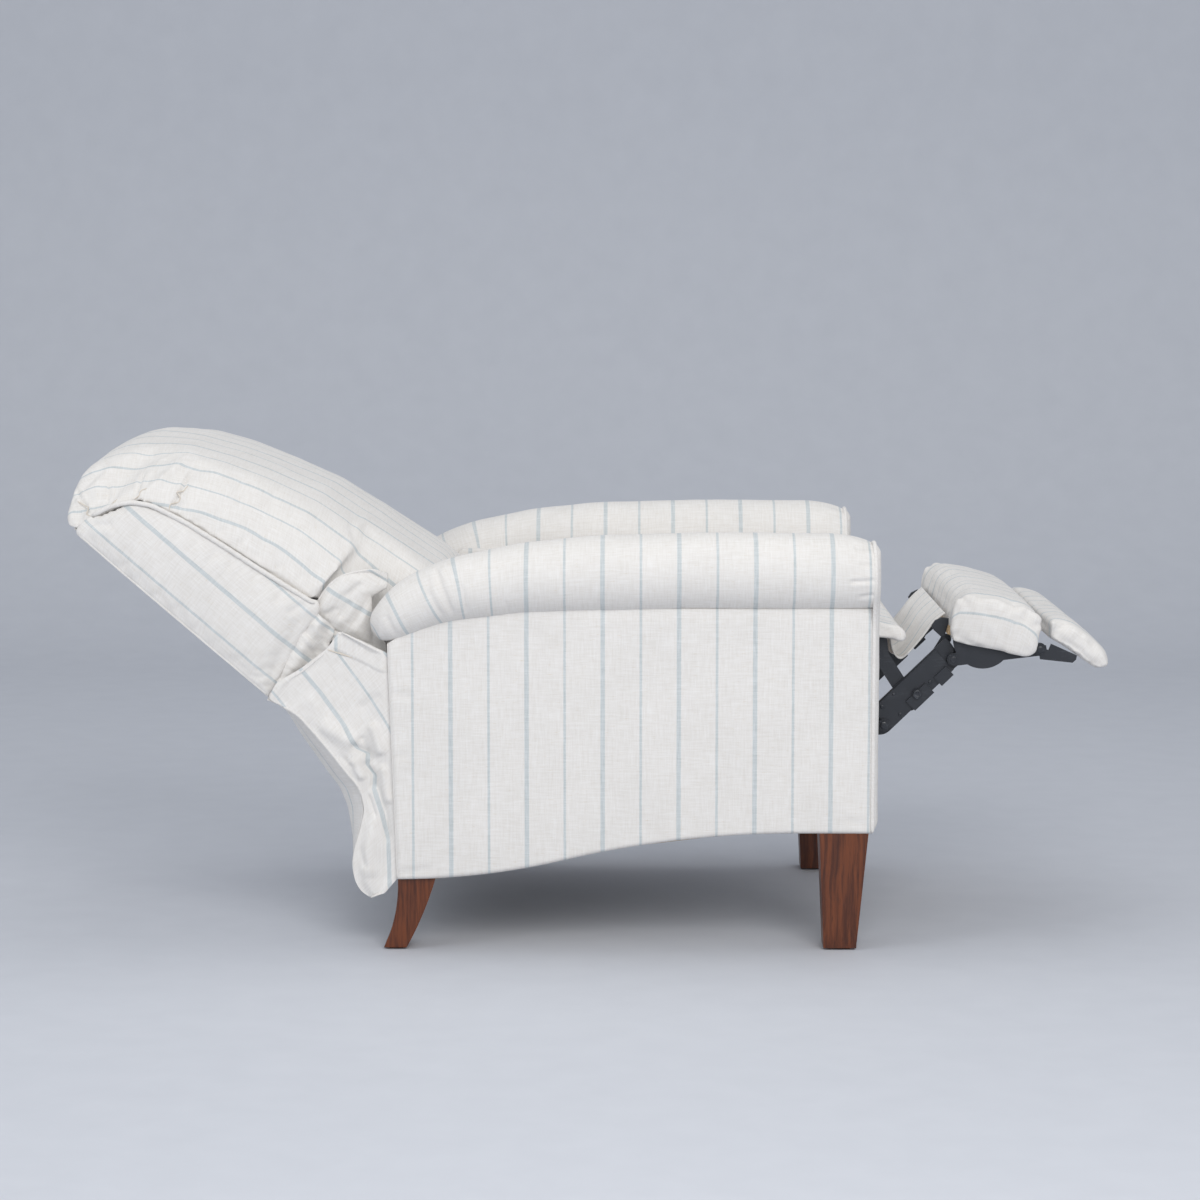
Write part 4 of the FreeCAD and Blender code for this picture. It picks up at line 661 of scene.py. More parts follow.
def arm_roll():
    nu, nv = 190, 84
    t = np.concatenate([[0.0, 0.0], np.linspace(0.0, 1.0, nu - 4), [1.0, 1.0]])
    crest, low, half = roll_at(t)
    scale = np.ones(nu)
    scale[0], scale[-1], scale[-2] = 0.02, 0.03, 0.6
    angle = np.linspace(0, 2 * math.pi, nv, endpoint=False)
    x = ARM_FRONT - t * ROLL_LENGTH
    x[-1] -= 0.0035
    x[-2] -= 0.0028
    mid = (crest + low) / 2
    tall = (crest - low) / 2
    co = np.empty((nu, nv, 3))
    co[:, :, 0] = x[:, None]
    co[:, :, 1] = -ROLL_Y - (half * scale)[:, None] * np.cos(angle)[None, :]
    co[:, :, 2] = mid[:, None] + (tall * scale)[:, None] * np.sin(angle)[None, :]
    co = co.reshape(-1, 3)
    faces = grid_faces(nu, nv, True)
    faces += [tuple(range(nv))[::-1], tuple((nu - 1) * nv + j for j in range(nv))]
    ob = mesh_object("arm_roll_right_cover", co, faces, STRIPED)
    pinned = (co[:, 0] > 0.432) | ((co[:, 2] < 0.53) & (co[:, 0] > -0.2))
    swell(ob, 0.0035, pressure=2.5, pinned=pinned, grow=0.006)
    finer(ob)
    co = coords(ob)
    n = normals(ob)
    plane = co[:, [0, 2]]
    outside = ease((-co[:, 1] - 0.33) / 0.03)
    push = noise(co, 8.0, 4.0) * 0.0016 + noise(co * (1, 1, 0.4), 26.0, 5.0) * 0.0006
    folds = (((-0.226, 0.592), (-0.198, 0.522), 0.0028, 0.0042), ((-0.238, 0.560), (-0.214, 0.520), 0.0018),
             ((-0.186, 0.570), (-0.176, 0.524), 0.0014), ((0.405, 0.6235), (0.438, 0.6215), 0.0022, 0.0028),
             ((0.398, 0.572), (0.438, 0.5745), 0.0024, 0.003), ((0.412, 0.598), (0.438, 0.598), 0.0012, 0.003),
             ((0.412, 0.548), (0.438, 0.552), 0.0014, 0.003), ((-0.300, 0.520), (-0.285, 0.488), 0.0016),
             ((-0.120, 0.545), (-0.114, 0.522), 0.0010), ((0.02, 0.545), (0.024, 0.524), 0.0008),
             ((0.15, 0.548), (0.148, 0.524), 0.0009), ((0.27, 0.545), (0.274, 0.524), 0.0008))
    push += creases(plane, folds, 0.004) * outside
    over = ease((co[:, 2] - 0.60) / 0.02) * ease((co[:, 0] - 0.39) / 0.04)
    push += over * 0.0010 * np.sin((co[:, 1] + ROLL_Y) * 260.0) * (1 - outside)
    push *= np.clip((ARM_FRONT + 0.002 - co[:, 0]) / 0.004, 0, 1)
    put(ob, co + n * push[:, None])
    co = coords(ob)
    t = np.clip((ARM_FRONT - co[:, 0]) / ROLL_LENGTH, 0, 1)
    crest, low, half = roll_at(t)
    height = np.clip((co[:, 2] - low) / (crest - low + 1e-9), 0, 1)
    shift = np.interp(co[:, 0], [-0.33, -0.258, -0.204, -0.1786, -0.14, -0.10],
                      [0.034, 0.036, 0.042, 0.016, 0.005, 0.0])
    flat = co[:, 0] - shift * (1 - height)
    fine = np.linspace(-0.40, 0.45, 341)
    top = roll_at(np.clip((ARM_FRONT - fine) / ROLL_LENGTH, 0, 1))[0]
    arc = run_length(np.stack([fine, top], axis=1))
    arc = arc - np.interp(0.0, fine, arc)
    angle = np.arctan2(co[:, 2] - (crest + low) / 2, -co[:, 1] - ROLL_Y)
    set_cloth(ob, stripe_x(np.interp(flat, fine, arc)), angle * 0.06)
    dress_pair(ob, "arm_roll_{}_cover", "root", "arm_roll_{}")


ARM_REAR, ARM_LOW = -0.287, 0.111


def rear_x(z):
    """Rear edge of the arm, which leans back a little towards its top."""
    return ARM_REAR - 0.013 * np.clip((z - ARM_LOW) / 0.354, 0, 1)


def hem_height(x):
    """Lower edge of the arm's side: level at the front, then a long double curve."""
    x0, x1, z0, z1, share = ARM_REAR, 0.328, ARM_LOW, 0.183, 0.415
    turn = 2 * math.atan2(z1 - z0, x1 - x0)
    bend_x = x0 + share * (x1 - x0)
    r0, r1 = (bend_x - x0) / math.sin(turn), (x1 - bend_x) / math.sin(turn)
    x = np.asarray(x, float)
    first = z0 + r0 - np.sqrt(np.maximum(r0 * r0 - (np.clip(x, x0, bend_x) - x0) ** 2, 0))
    last = z1 - r1 + np.sqrt(np.maximum(r1 * r1 - (x1 - np.clip(x, bend_x, x1)) ** 2, 0))
    return np.where(x < bend_x, first, np.where(x < x1, last, z1))


def arm_side(name, face_y, sign, top_flat, thickness):
    """Padded flat side of an arm: outer face, rounded edges and a plain rear."""
    nu, nv = 200, 110
    U, W = np.meshgrid(np.linspace(0, 1, nu), np.linspace(0, 1, nv), indexing="ij")
    x_line = ARM_REAR + U * (ARM_FRONT - ARM_REAR)
    low = hem_height(x_line)
    high = np.where(x_line < -0.207, np.interp(x_line, [-0.300, -0.207], [0.465, top_flat]), top_flat)
    Z = low + W * (high - low)
    rear = rear_x(Z)
    X = rear + U * (ARM_FRONT - rear)
    edge = np.minimum(np.minimum((X - rear) * 1.8, ARM_FRONT - X), Z - low)
    soft = np.sqrt(np.clip(edge / 0.005, 0, 1) * (2 - np.clip(edge / 0.005, 0, 1)))
    crown = 0.0028 * (1 - np.exp(-edge / 0.05))
    p = np.stack([X.ravel(), Z.ravel(), np.zeros(X.size)], axis=1)
    lumps = noise(p, 6.0, 7.0 + face_y) * 0.0016 + noise(p * (1, 0.35, 1), 22.0, 8.0) * 0.0005
    folds = (((-0.290, 0.120), (-0.235, 0.128), 0.0012), ((0.430, 0.196), (0.395, 0.205), 0.0010),
             ((-0.296, 0.400), (-0.262, 0.392), 0.0012), ((-0.293, 0.300), (-0.268, 0.305), 0.0010))
    lumps = (lumps + creases(p[:, :2], folds, 0.006)).reshape(X.shape)
    tuck = 0.0022 * np.exp(-((high - Z) / 0.012) ** 2)
    Y = face_y + sign * (-0.004 + 0.004 * soft + crown * soft + lumps * soft - tuck)
    rear = np.full_like(Y, face_y - sign * thickness)
    ob = shell(name, np.stack([X, Y, Z], axis=2), np.stack([X, rear, Z], axis=2))
    co = coords(ob)
    set_cloth(ob, stripe_x(co[:, 0]), co[:, 2] + co[:, 1])
    return ob


def facing():
    """Padded front of the arm, a round head on a straight stem, crowned across."""
    nu, nv = 120, 25
    radius, middle_z, stem = 0.0532, 0.5721, 0.043
    z = np.concatenate([np.linspace(0.185, middle_z, 80, endpoint=False),
                        middle_z + radius * np.sin(np.linspace(0, math.pi / 2, nu - 80))])
    neck = z < middle_z
    half = radius * np.sqrt(np.clip(1 - ((z - middle_z) / radius) ** 2, 0, 1))
    half = np.maximum(half, np.where(neck, stem, 0.0004))
    v = np.sin(np.linspace(-1, 1, nv) * math.pi / 2)
    shift = np.where(neck, 0.307 - ROLL_Y, 0.0) * (1 - ease((z - 0.50) / 0.06))
    Y = -ROLL_Y + half[:, None] * v[None, :] - shift[:, None]
    Z = np.repeat(z[:, None], nv, axis=1)
    end = np.minimum((z - 0.185) / 0.012, 1.0)
    top = np.clip((middle_z + radius - z) / 0.012, 0, 1)
    rise = 0.0098 * np.sqrt(np.clip(1 - np.abs(v) ** 3.2, 0, 1))[None, :] * np.sqrt(np.clip(end * top, 0, 1))[:, None]
    p = np.stack([np.zeros(Z.size), Y.ravel(), Z.ravel()], axis=1)
    rise = rise + (noise(p, 20.0, 9.0) * 0.0007).reshape(Z.shape) * (1 - np.abs(v[None, :]) ** 4)
    X = ARM_FRONT + 0.0008 + rise
    ob = shell("arm_facing_right_cover", np.stack([X, Y, Z], axis=2),
               np.stack([np.full_like(X, ARM_FRONT + 0.0004), Y, Z], axis=2))
    co = coords(ob)
    set_cloth(ob, co[:, 1] + ROLL_Y, co[:, 2])
    dress_pair(ob, "arm_facing_{}_cover", "root", "arm_facing_{}")
    edge = [(Y[i, 0], Z[i, 0]) for i in range(nu)] + [(Y[i, -1], Z[i, -1]) for i in range(nu - 1, -1, -1)]
    line = []
    for y, z_at in edge:
        out = np.array([y + ROLL_Y, z_at - (max(z_at, 0.2) if z_at < middle_z else middle_z)])
        out = out / (np.linalg.norm(out) + 1e-9) * 0.0015
        line.append((ARM_FRONT + 0.0005, y + out[0], z_at + out[1]))
    for sign, side in SIDES:
        dress(tube("facing_welt_" + side, [(x, sign * y, z) for x, y, z in line], 0.0033, PLAIN, rounds=3), "root")


def arms():
    arm_roll()
    for name, panel, face_y, sign, top in (("arm_side_{}_cover", "arm_outer_panel_{}", -0.352, -1, CREASE_Z + 0.0055),
                                           ("arm_inside_{}_cover", "arm_inner_panel_{}", -0.262, 1, 0.5625)):
        dress_pair(arm_side(name.format("right"), face_y, sign, top, 0.008), name, "root", panel)
    facing()
    arm_rears()


def arm_rears():
    """Cloth stretched over the rear end of each arm, which shows when the back is upright."""
    z, y = np.meshgrid(np.linspace(0.113, 0.474, 60), np.linspace(-0.349, -0.263, 24), indexing="ij")
    x = -0.2868 - 0.0125 * np.clip((z - 0.111) / 0.354, 0, 1)
    for sign, tag in SIDES:
        grid = np.stack([x, y * sign, z], axis=2)
        ob = lap_sheet("arm_rear_cover_" + tag, grid, 0.0016, STRIPED, -0.020 - y, z)
        dress(ob, "root")


# Seat and footrest


# Each cushion's corner, and how many degrees it slopes down to the front
SEAT = (-0.186, 0.0, 0.452), -3.9
PAD = (0.558, 0.0, 0.465), 16.6
EXTENSION = (0.712, 0.0, 0.473), 37.0


def in_pad(ob, place):
    """A piece's points, and how far each lies along and up from a cushion's corner."""
    origin, slope = place
    a = math.radians(slope)
    co = coords(ob)
    d = co - np.array(origin)
    return co, d[:, 0] * math.cos(a) - d[:, 2] * math.sin(a), d[:, 0] * math.sin(a) + d[:, 2] * math.cos(a)


def seat_cushion():
    ob = remeshed("seat_cushion_cover", ["seat_cushion"], 0.007, STRIPED, rounds=2)
    _, _, up = in_pad(ob, SEAT)
    swell(ob, 0.009, pressure=4.0, pinned=up < -0.022, grow=0.008)
    finer(ob)
    co, along, up = in_pad(ob, SEAT)
    push = noise(co, 8.0, 11.0) * 0.002 + noise(co, 24.0, 12.0) * 0.0007
    nose = ease((along - 0.655) / 0.02)
    put(ob, co + normals(ob) * (push * ease((up + 0.03) / 0.02) + 0.0025 * nose)[:, None])
    co, along, up = in_pad(ob, SEAT)
    side = ease((np.abs(co[:, 1]) - 0.236) / 0.01)
    set_cloth(ob, np.abs(co[:, 1]) - 4 * PITCH + np.maximum(-up, 0) * side, along - up * (1 - side))
    dress(ob, "seat", nodes=["seat_cushion"])


def footrest_pad():
    ob = remeshed("footrest_cover", ["footrest_pad"], 0.006, STRIPED, rounds=1, closed=True)
    _, x, z = in_pad(ob, PAD)
    under = z < np.interp(x, [0.0, 0.005, 0.037, 0.084, 0.123, 0.142], [0.020, 0.006, 0.006, 0.012, 0.015, 0.020])
    swell(ob, 0.008, pressure=5.0, pinned=under, grow=0.02)
    finer(ob)
    co, x, z = in_pad(ob, PAD)
    end = ease((np.abs(co[:, 1]) - 0.244) / 0.008)
    plane = np.stack([x, z], axis=1)
    push = noise(co, 11.0, 13.0) * 0.0016 + noise(co, 30.0, 14.0) * 0.0006
    folds = (((-0.006, 0.078), (0.014, 0.066), 0.0022), ((0.138, 0.072), (0.120, 0.064), 0.0024),
             ((0.138, 0.020), (0.118, 0.026), 0.0016), ((-0.004, 0.012), (0.014, 0.018), 0.0016),
             ((0.03, 0.080), (0.036, 0.064), 0.0010), ((0.075, 0.086), (0.078, 0.068), 0.0010),
             ((0.11, 0.082), (0.106, 0.066), 0.0012))
    push += creases(plane, folds, 0.0042) * end
    body = ease((z - 0.020) / 0.02) + end
    crown = 0.0015 * np.cos(np.clip(np.abs(co[:, 1]) / 0.255, 0, 1) * math.pi / 2) * ease((z - 0.055) / 0.02)
    ends = 0.003 * end * ease((z - 0.008) / 0.01)
    put(ob, co + normals(ob) * (push * np.minimum(body, 1) + crown + ends)[:, None])
    co, x, z = in_pad(ob, PAD)
    top = np.interp(x, [-0.011, -0.0085, 0.004, 0.06, 0.107, 0.131, 0.140],
                    [0.058, 0.071, 0.0805, 0.0876, 0.088, 0.0807, 0.072])
    side = ease((np.abs(co[:, 1]) - 0.238) / 0.012)
    set_cloth(ob, np.abs(co[:, 1]) - 4 * PITCH + np.maximum(top - z, 0) * side, x - z * (1 - side) * np.sign(x - 0.07))
    dress(ob, "footrest", nodes=["footrest_pad"])


def extension():
    ob = remeshed("extension_cover", ["extension_pad"], 0.005, STRIPED, rounds=2)
    co, x, z = in_pad(ob, EXTENSION)
    swell(ob, 0.008, pressure=5.0, pinned=(z < 0.008) & (np.abs(co[:, 1]) < 0.242), grow=0.02)
    finer(ob)
    co, x, z = in_pad(ob, EXTENSION)
    push = noise(co, 12.0, 15.0) * 0.0013 + noise(co, 30.0, 16.0) * 0.0005
    push += 0.003 * ease((z - 0.012) / 0.01) * ease((0.115 - x) / 0.03)
    put(ob, co + normals(ob) * push[:, None])
    co, x, z = in_pad(ob, EXTENSION)
    top = np.interp(x, [-0.014, -0.004, 0.023, 0.052, 0.085, 0.11], [0.023, 0.024, 0.034, 0.034, 0.030, 0.023])
    side = ease((np.abs(co[:, 1]) - 0.236) / 0.01)
    set_cloth(ob, np.abs(co[:, 1]) - 4 * PITCH + np.maximum(top - z, 0) * side, x - z * (1 - side))
    dress(ob, "extension", nodes=["extension_pad"])


def curve_between(points, count, rounds=30):
    """A smooth line of so many even points."""
    line = smooth_line(points, 0.002, rounds)
    return resample(line, run_length(line)[-1] / (count - 1))[:count]


def gap_flap():
    shares = [(0.0, 1.23), (0.066, 0.46), (0.22, 0.0), (0.41, 0.51), (0.60, 1.14), (0.731, 1.66), (0.875, 2.03),
              (1.0, 2.26)]
    line = curve_between([(0.475 + a * 0.0863, 0.0, 0.425 + b * 0.035) for a, b in shares], 60)
    nv, half = 70, 0.193
    y = np.linspace(-half, half, nv)
    grid = np.repeat(line[:, None, :], nv, axis=1)
    grid[:, :, 1] = y[None, :]
    s = np.linspace(0, 1, len(line))[:, None]
    middle = np.sin(s * math.pi)
    wave = 0.003 * np.sin(y[None, :] * 31.0 + 0.6) + 0.0016 * np.sin(y[None, :] * 73.0 + 2.0)
    grid[:, :, 2] += wave * middle - 0.004 * middle * np.cos(y[None, :] / half * math.pi / 2)
    grid[:, :, 0] += 0.0022 * np.sin(y[None, :] * 47.0 + s * 5.0) * middle
    length = run_length(line)[-1]
    across = np.repeat(np.abs(y)[None, :], len(line), axis=0)
    along = np.repeat(s * length, nv, axis=1)
    ob = lap_sheet("gap_flap_cloth", grid, CLOTH, STRIPED, across, along)
    dress(ob, "seat", nodes=["gap_flap"])
    stitches = []
    for tag, k in (("right", 4), ("left", nv - 5)):
        path = [grid[i, k] + np.array([0, 0, 0.0011]) for i in range(2, len(line) - 2)]
        stitch = tube("flap_hem_stitch_" + tag, path, 0.0005, THREAD, sides=6, step=0.003, rounds=1)
        stitches.append(dress(stitch, "seat"))
    for piece in (*stitches, ob):
        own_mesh(piece)


# Cloth behind: the drop cloth, its gussets and the side tails


EDGE = [(-0.4855, 0.3855), (-0.468, 0.379), (-0.440, 0.364), (-0.412, 0.332), (-0.388, 0.303), (-0.366, 0.274),
        (-0.345, 0.250), (-0.338, 0.216), (-0.345, 0.185), (-0.354, 0.154), (-0.358, 0.129), (-0.353, 0.104),
        (-0.343, 0.087), (-0.330, 0.080), (-0.307, 0.088), (-0.2873, 0.111)]
MIDDLE = [(-0.4855, 0.3855), (-0.495, 0.362), (-0.489, 0.333), (-0.478, 0.302), (-0.458, 0.268), (-0.436, 0.234),
          (-0.410, 0.203), (-0.385, 0.176), (-0.366, 0.158), (-0.357, 0.142), (-0.352, 0.125), (-0.346, 0.108),
          (-0.337, 0.097), (-0.325, 0.092), (-0.305, 0.097), (-0.2873, 0.111)]


def hang_between(piece):
    """Cloth that spans from the chair to the back; its placement is only baked into its mesh, and it moves with
    neither.
    """
    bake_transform(piece)


def drop_cloth():
    edge = curve_between([(x, 0.0, z) for x, z in EDGE], 90, 20)
    middle = curve_between([(x, 0.0, z) for x, z in MIDDLE], 90, 20)
    nv = 121
    y = np.linspace(-0.329, 0.329, nv)
    share = np.interp(np.abs(y) / 0.33, [0, 0.5, 0.8, 0.93, 1.0], [0.52, 0.50, 0.38, 0.2, 0.0])
    grid = edge[:, None, :] * (1 - share)[None, :, None] + middle[:, None, :] * share[None, :, None]
    grid[:, :, 1] = y[None, :]
    s = np.linspace(0, 1, 90)[:, None]
    free = np.sin(s * math.pi) ** 0.8 * (1 - (np.abs(y) / 0.33) ** 8)[None, :]
    fold = 0.007 * np.sin(y * 26 + 1.0)[None, :] * np.sin(s * math.pi) + 0.0045 * np.sin(y[None, :] * 51 + s * 6.0)
    grid[:, :, 0] -= fold * free * 0.8
    grid[:, :, 2] -= fold * free * 0.35 * np.cos(s * 9)
    length = float(run_length(edge)[-1])
    across = np.repeat(y[None, :], 90, axis=0)
    ob = lap_sheet("drop_cloth_rear", grid, CLOTH, STRIPED, across, np.repeat(s * length, nv, axis=1))
    dress(ob, nodes=["drop_cloth"])
    hang_between(ob)


# The gusset's wide stripe and its two edges, x at each height
WIDE_PATH = np.array([(0.095, -0.299), (0.169, -0.301), (0.210, -0.311), (0.248, -0.323), (0.269, -0.321),
                      (0.286, -0.333), (0.302, -0.332), (0.310, -0.348), (0.348, -0.369), (0.396, -0.403),
                      (0.430, -0.431), (0.46, -0.455)])
LEFT_EDGE = np.array([(0.080, -0.330), (0.087, -0.343), (0.104, -0.353), (0.129, -0.358), (0.154, -0.354),
                      (0.185, -0.345), (0.216, -0.338), (0.250, -0.345), (0.274, -0.366), (0.303, -0.388),
                      (0.332, -0.412), (0.364, -0.440), (0.379, -0.468), (0.3855, -0.4855), (0.413, -0.4706),
                      (0.432, -0.436), (0.465, -0.392), (0.4906, -0.375)])
RIGHT_EDGE = np.array([(0.080, -0.3299), (0.088, -0.307), (0.111, -0.2873), (0.4585, -0.304), (0.4906, -0.3735)])
# Folds of the gusset: a line, how far it stands out or in, and its half width
GUSSET_FOLDS = [
    ([(-0.405, 0.348), (-0.350, 0.316)], 0.0075, 0.012), ([(-0.326, 0.352), (-0.311, 0.300)], 0.0090, 0.0085),
    ([(-0.356, 0.296), (-0.340, 0.262)], 0.0080, 0.009), ([(-0.311, 0.288), (-0.300, 0.225)], 0.0080, 0.007),
    ([(-0.338, 0.205), (-0.330, 0.110)], 0.0060, 0.013), ([(-0.430, 0.395), (-0.372, 0.330)], 0.0025, 0.012),
    ([(-0.358, 0.318), (-0.336, 0.305), (-0.327, 0.297)], -0.0070, 0.0060),
    ([(-0.327, 0.297), (-0.335, 0.285), (-0.322, 0.268), (-0.323, 0.246)], -0.0070, 0.0056),
    ([(-0.343, 0.331), (-0.328, 0.300)], -0.0050, 0.0060),
    ([(-0.318, 0.255), (-0.305, 0.205), (-0.300, 0.165)], -0.0055, 0.0056),
    ([(-0.332, 0.240), (-0.320, 0.205)], -0.0045, 0.0036), ([(-0.347, 0.160), (-0.335, 0.125)], -0.0030, 0.005),
    ([(-0.380, 0.300), (-0.352, 0.280)], -0.0030, 0.005), ([(-0.310, 0.395), (-0.345, 0.372)], -0.0022, 0.007),
]


def gussets():
    nz, nx = 170, 64
    z = np.linspace(0.0805, 0.490, nz)
    left = np.interp(z, LEFT_EDGE[:, 0], LEFT_EDGE[:, 1])
    right = np.interp(z, RIGHT_EDGE[:, 0], RIGHT_EDGE[:, 1]) + 0.004 * ease((z - 0.11) / 0.02)
    for _ in range(6):
        left[1:-1] = left[1:-1] * 0.5 + (left[:-2] + left[2:]) * 0.25
    u = np.linspace(0, 1, nx)
    X = left[:, None] + (right - left)[:, None] * u[None, :]
    Z = np.repeat(z[:, None], nx, axis=1)
    plane = np.stack([X.ravel(), Z.ravel()], axis=1)
    p = np.stack([X.ravel(), np.zeros(X.size), Z.ravel()], axis=1)
    puff = np.zeros(X.size)
    for line, height, width in GUSSET_FOLDS:
        away = np.full(X.size, 9.0)
        for a, b in zip(line, line[1:]):
            away = np.minimum(away, to_line(plane, a, b)[0])
        share = to_line(plane, line[0], line[-1])[1]
        fade = ease(np.minimum(share, 1 - share) * 4 + 0.3)
        puff += height * np.exp(-(away / width) ** 2) * fade
    puff += noise(p, 18.0, 21.0) * 0.0028 + noise(p, 60.0, 22.0) * 0.0006
    hem = [to_line(plane, a, b)[0] - width for a, b, width in (((-0.3750, 0.4906), (-0.3040, 0.4565), 0.0270),
                                                              ((-0.4706, 0.4130), (-0.3750, 0.4906), 0.0110),
                                                              ((-0.4855, 0.3855), (-0.4706, 0.4130), 0.0110))]
    puff += 0.0030 * ease(-np.minimum.reduce(hem) / 0.0018)
    puff = puff.reshape(X.shape)
    low = ease((0.26 - Z) / 0.06)
    edge = np.minimum(u * (right - left)[:, None], 0.02) / 0.02
    bulge = 0.007 * low * np.sin(u * math.pi)[None, :]
    out = 0.0085 * ease((u - 0.70) / 0.30)[None, :]
    Y = -(0.3323 + (puff + bulge) * ease(edge) * ease((1.02 - u) / 0.12)[None, :] + out)
    Y = np.maximum(Y, -0.349)
    base = np.stack([X, Y, Z], axis=2)
    wide = np.interp(Z, WIDE_PATH[:, 0], WIDE_PATH[:, 1])
    across = (X - wide) * np.interp(Z, [0.1, 0.25, 0.34, 0.45], [1.0, 0.95, 0.85, 0.76])
    rows = [(left[i] + 0.0008, z[i]) for i in range(nz) if 0.235 < z[i] < 0.378][::-1]
    trims = (("piping", rows, 0.3315, 0.0026, PLAIN, 10, 4),
             ("hem", [(-0.3765, 0.4885), (-0.340, 0.472), (-0.3065, 0.4565)], 0.3335, 0.0017, PLAIN, 8, 6),
             ("stitch", [(-0.392, 0.463), (-0.345, 0.448), (-0.302, 0.429)], 0.3340, 0.0010, THREAD, 6, 6),
             ("band", [(-0.466, 0.404), (-0.450, 0.4185), (-0.432, 0.4285), (-0.395, 0.459)], 0.3325, 0.0017, PLAIN,
              8, 6))
    for sign, tag in SIDES:
        grid = base * np.array([1, sign, 1])
        ob = lap_sheet("drop_gusset_" + tag, grid, CLOTH, STRIPED, across, Z - X)
        dress(ob, nodes=["drop_gussets"] if sign > 0 else ())
        extras = [dress(tube(f"gusset_{name}_{tag}", [(a, -sign * y, b) for a, b in line], radius, mat,
                             sides=sides, rounds=rounds))
                  for name, line, y, radius, mat, sides, rounds in trims]
        for piece in (ob, *extras):
            hang_between(piece)


TAIL = np.array([(-0.12, 0.36), (0.02, 0.6), (0.18, 0.82), (0.42, 1.0), (0.65, 1.05), (1.0, 1.04), (1.3, 0.9),
                 (1.3, 0.8), (1.0, 0.66), (1.0, -0.12), (0.6, 0.0), (0.12, 0.2)]) * (0.084, 0.095) + (-0.411, 0.478)


def side_tails():
    """Crumpled cloth between the wing and the roll's rear end."""
    nu, nv = 70, 56
    upper = smooth_line(list(TAIL[0:5]) + [(-0.327, 0.5835), (-0.302, 0.5765)], 0.002, 20)
    lower = smooth_line([TAIL[0], (-0.404, 0.490), (-0.386, 0.470), (-0.360, 0.462), (-0.335, 0.452),
                         (-0.304, 0.448), (-0.305, 0.470), (-0.3265, 0.484), (-0.3265, 0.50), TAIL[8], TAIL[7],
                         TAIL[6]], 0.002, 4)
    share = np.linspace(0, 1, nu)
    top, low = (np.stack([np.interp(share, np.linspace(0, 1, len(line)), line[:, k]) for k in (0, 1)], axis=1)
                for line in (upper, lower))
    v = np.linspace(0, 1, nv)
    flat = top[:, None, :] * (1 - v)[None, :, None] + low[:, None, :] * v[None, :, None]
    plane = flat.reshape(-1, 2)
    p = np.stack([plane[:, 0], np.zeros(len(plane)), plane[:, 1]], axis=1)
    puff = noise(p, 16.0, 31.0) * 0.0025 + noise(p, 45.0, 32.0) * 0.0007
    for a, b, h, w in (((-0.402, 0.530), (-0.350, 0.566), 0.004, 0.014),
                       ((-0.372, 0.505), (-0.338, 0.548), 0.0035, 0.010),
                       ((-0.352, 0.490), (-0.330, 0.520), 0.003, 0.008)):
        puff += h * np.exp(-(to_line(plane, a, b)[0] / w) ** 2)
    folds = (((-0.367, 0.541), (-0.343, 0.562), 0.0026), ((-0.376, 0.508), (-0.359, 0.535), 0.0030),
             ((-0.398, 0.512), (-0.378, 0.524), 0.0024), ((-0.352, 0.498), (-0.340, 0.526), 0.0020))
    puff += creases(plane, folds, 0.004)
    away = edge_distance(plane, TAIL)
    dome = 0.0075 * np.sqrt(1 - (1 - np.clip(away / 0.016, 0, 1)) ** 2)
    Y = -(0.2965 + dome + puff * ease(away / 0.010)).reshape(nu, nv)
    ob = shell("side_tail_right_cover", np.stack([flat[:, :, 0], Y, flat[:, :, 1]], axis=2),
               np.stack([flat[:, :, 0], np.full_like(Y, -0.2948), flat[:, :, 1]], axis=2))
    a, b = np.array([-0.399, 0.556]), np.array([-0.325, 0.511])
    run = (b - a) / np.linalg.norm(b - a)
    both = coords(ob)[:, [0, 2]] - a
    set_cloth(ob, both @ np.array([-run[1], run[0]]), both @ run)
    other = mirror_piece(ob, "side_tail_left_cover")
    for piece, sign, tag in ((ob, 1, "right"), (other, -1, "left")):
        dress(piece, nodes=["side_tail_" + tag])
        line = [(x, sign * -0.2985, z) for x, z in upper[4:-6:6]]
        for part in (piece, dress(tube("tail_welt_" + tag, line, 0.0015, PLAIN, sides=8))):
            hang_between(part)


def wing_tucks():
    """Cloth that runs on under the wing's lower end and in behind the gusset."""
    nu, nv = 64, 22
    x = np.linspace(0.003, 0.150, nu)
    top = np.interp(x, PANEL[:5, 0], PANEL[:5, 1]) + 0.003
    deep = np.interp(x, [0.003, 0.03, 0.07, 0.11, 0.15], [0.016, 0.036, 0.050, 0.056, 0.040])
    v = np.linspace(0, 1, nv)
    z = top[:, None] - deep[:, None] * v[None, :]
    xx = np.repeat(x[:, None], nv, axis=1)
    wrinkle, fine = (noise(np.stack([xx.ravel() * k, np.zeros(xx.size), z.ravel()], axis=1), scale, seed)
                     .reshape(xx.shape) for k, scale, seed in ((2.6, 34.0, 41.0), (2.0, 90.0, 42.0)))
    out = 0.3075 + (0.0085 * np.sin(np.minimum(v * 2.4, 1.0) * math.pi / 2) - 0.010 * ease((v - 0.35) / 0.5))[None, :]
    out = out + (wrinkle * 0.0055 + fine * 0.0014) * ease(v / 0.25)[None, :]
    xx = xx + 0.004 * wrinkle * ease(v / 0.3)[None, :]
    for sign, tag in ((-1, "right"), (1, "left")):
        grid = from_back(xx, sign * out, z)
        ob = lap_sheet("wing_tuck_" + tag, grid, 0.0016, STRIPED, xx - STRIPE_SHIFT, z + out * 1.4)
        dress(ob)
        hang_between(ob)


# Hidden cloth: dust cover and straps


STRAP_WIDTH, STRAP_GAP = 0.05, 0.02


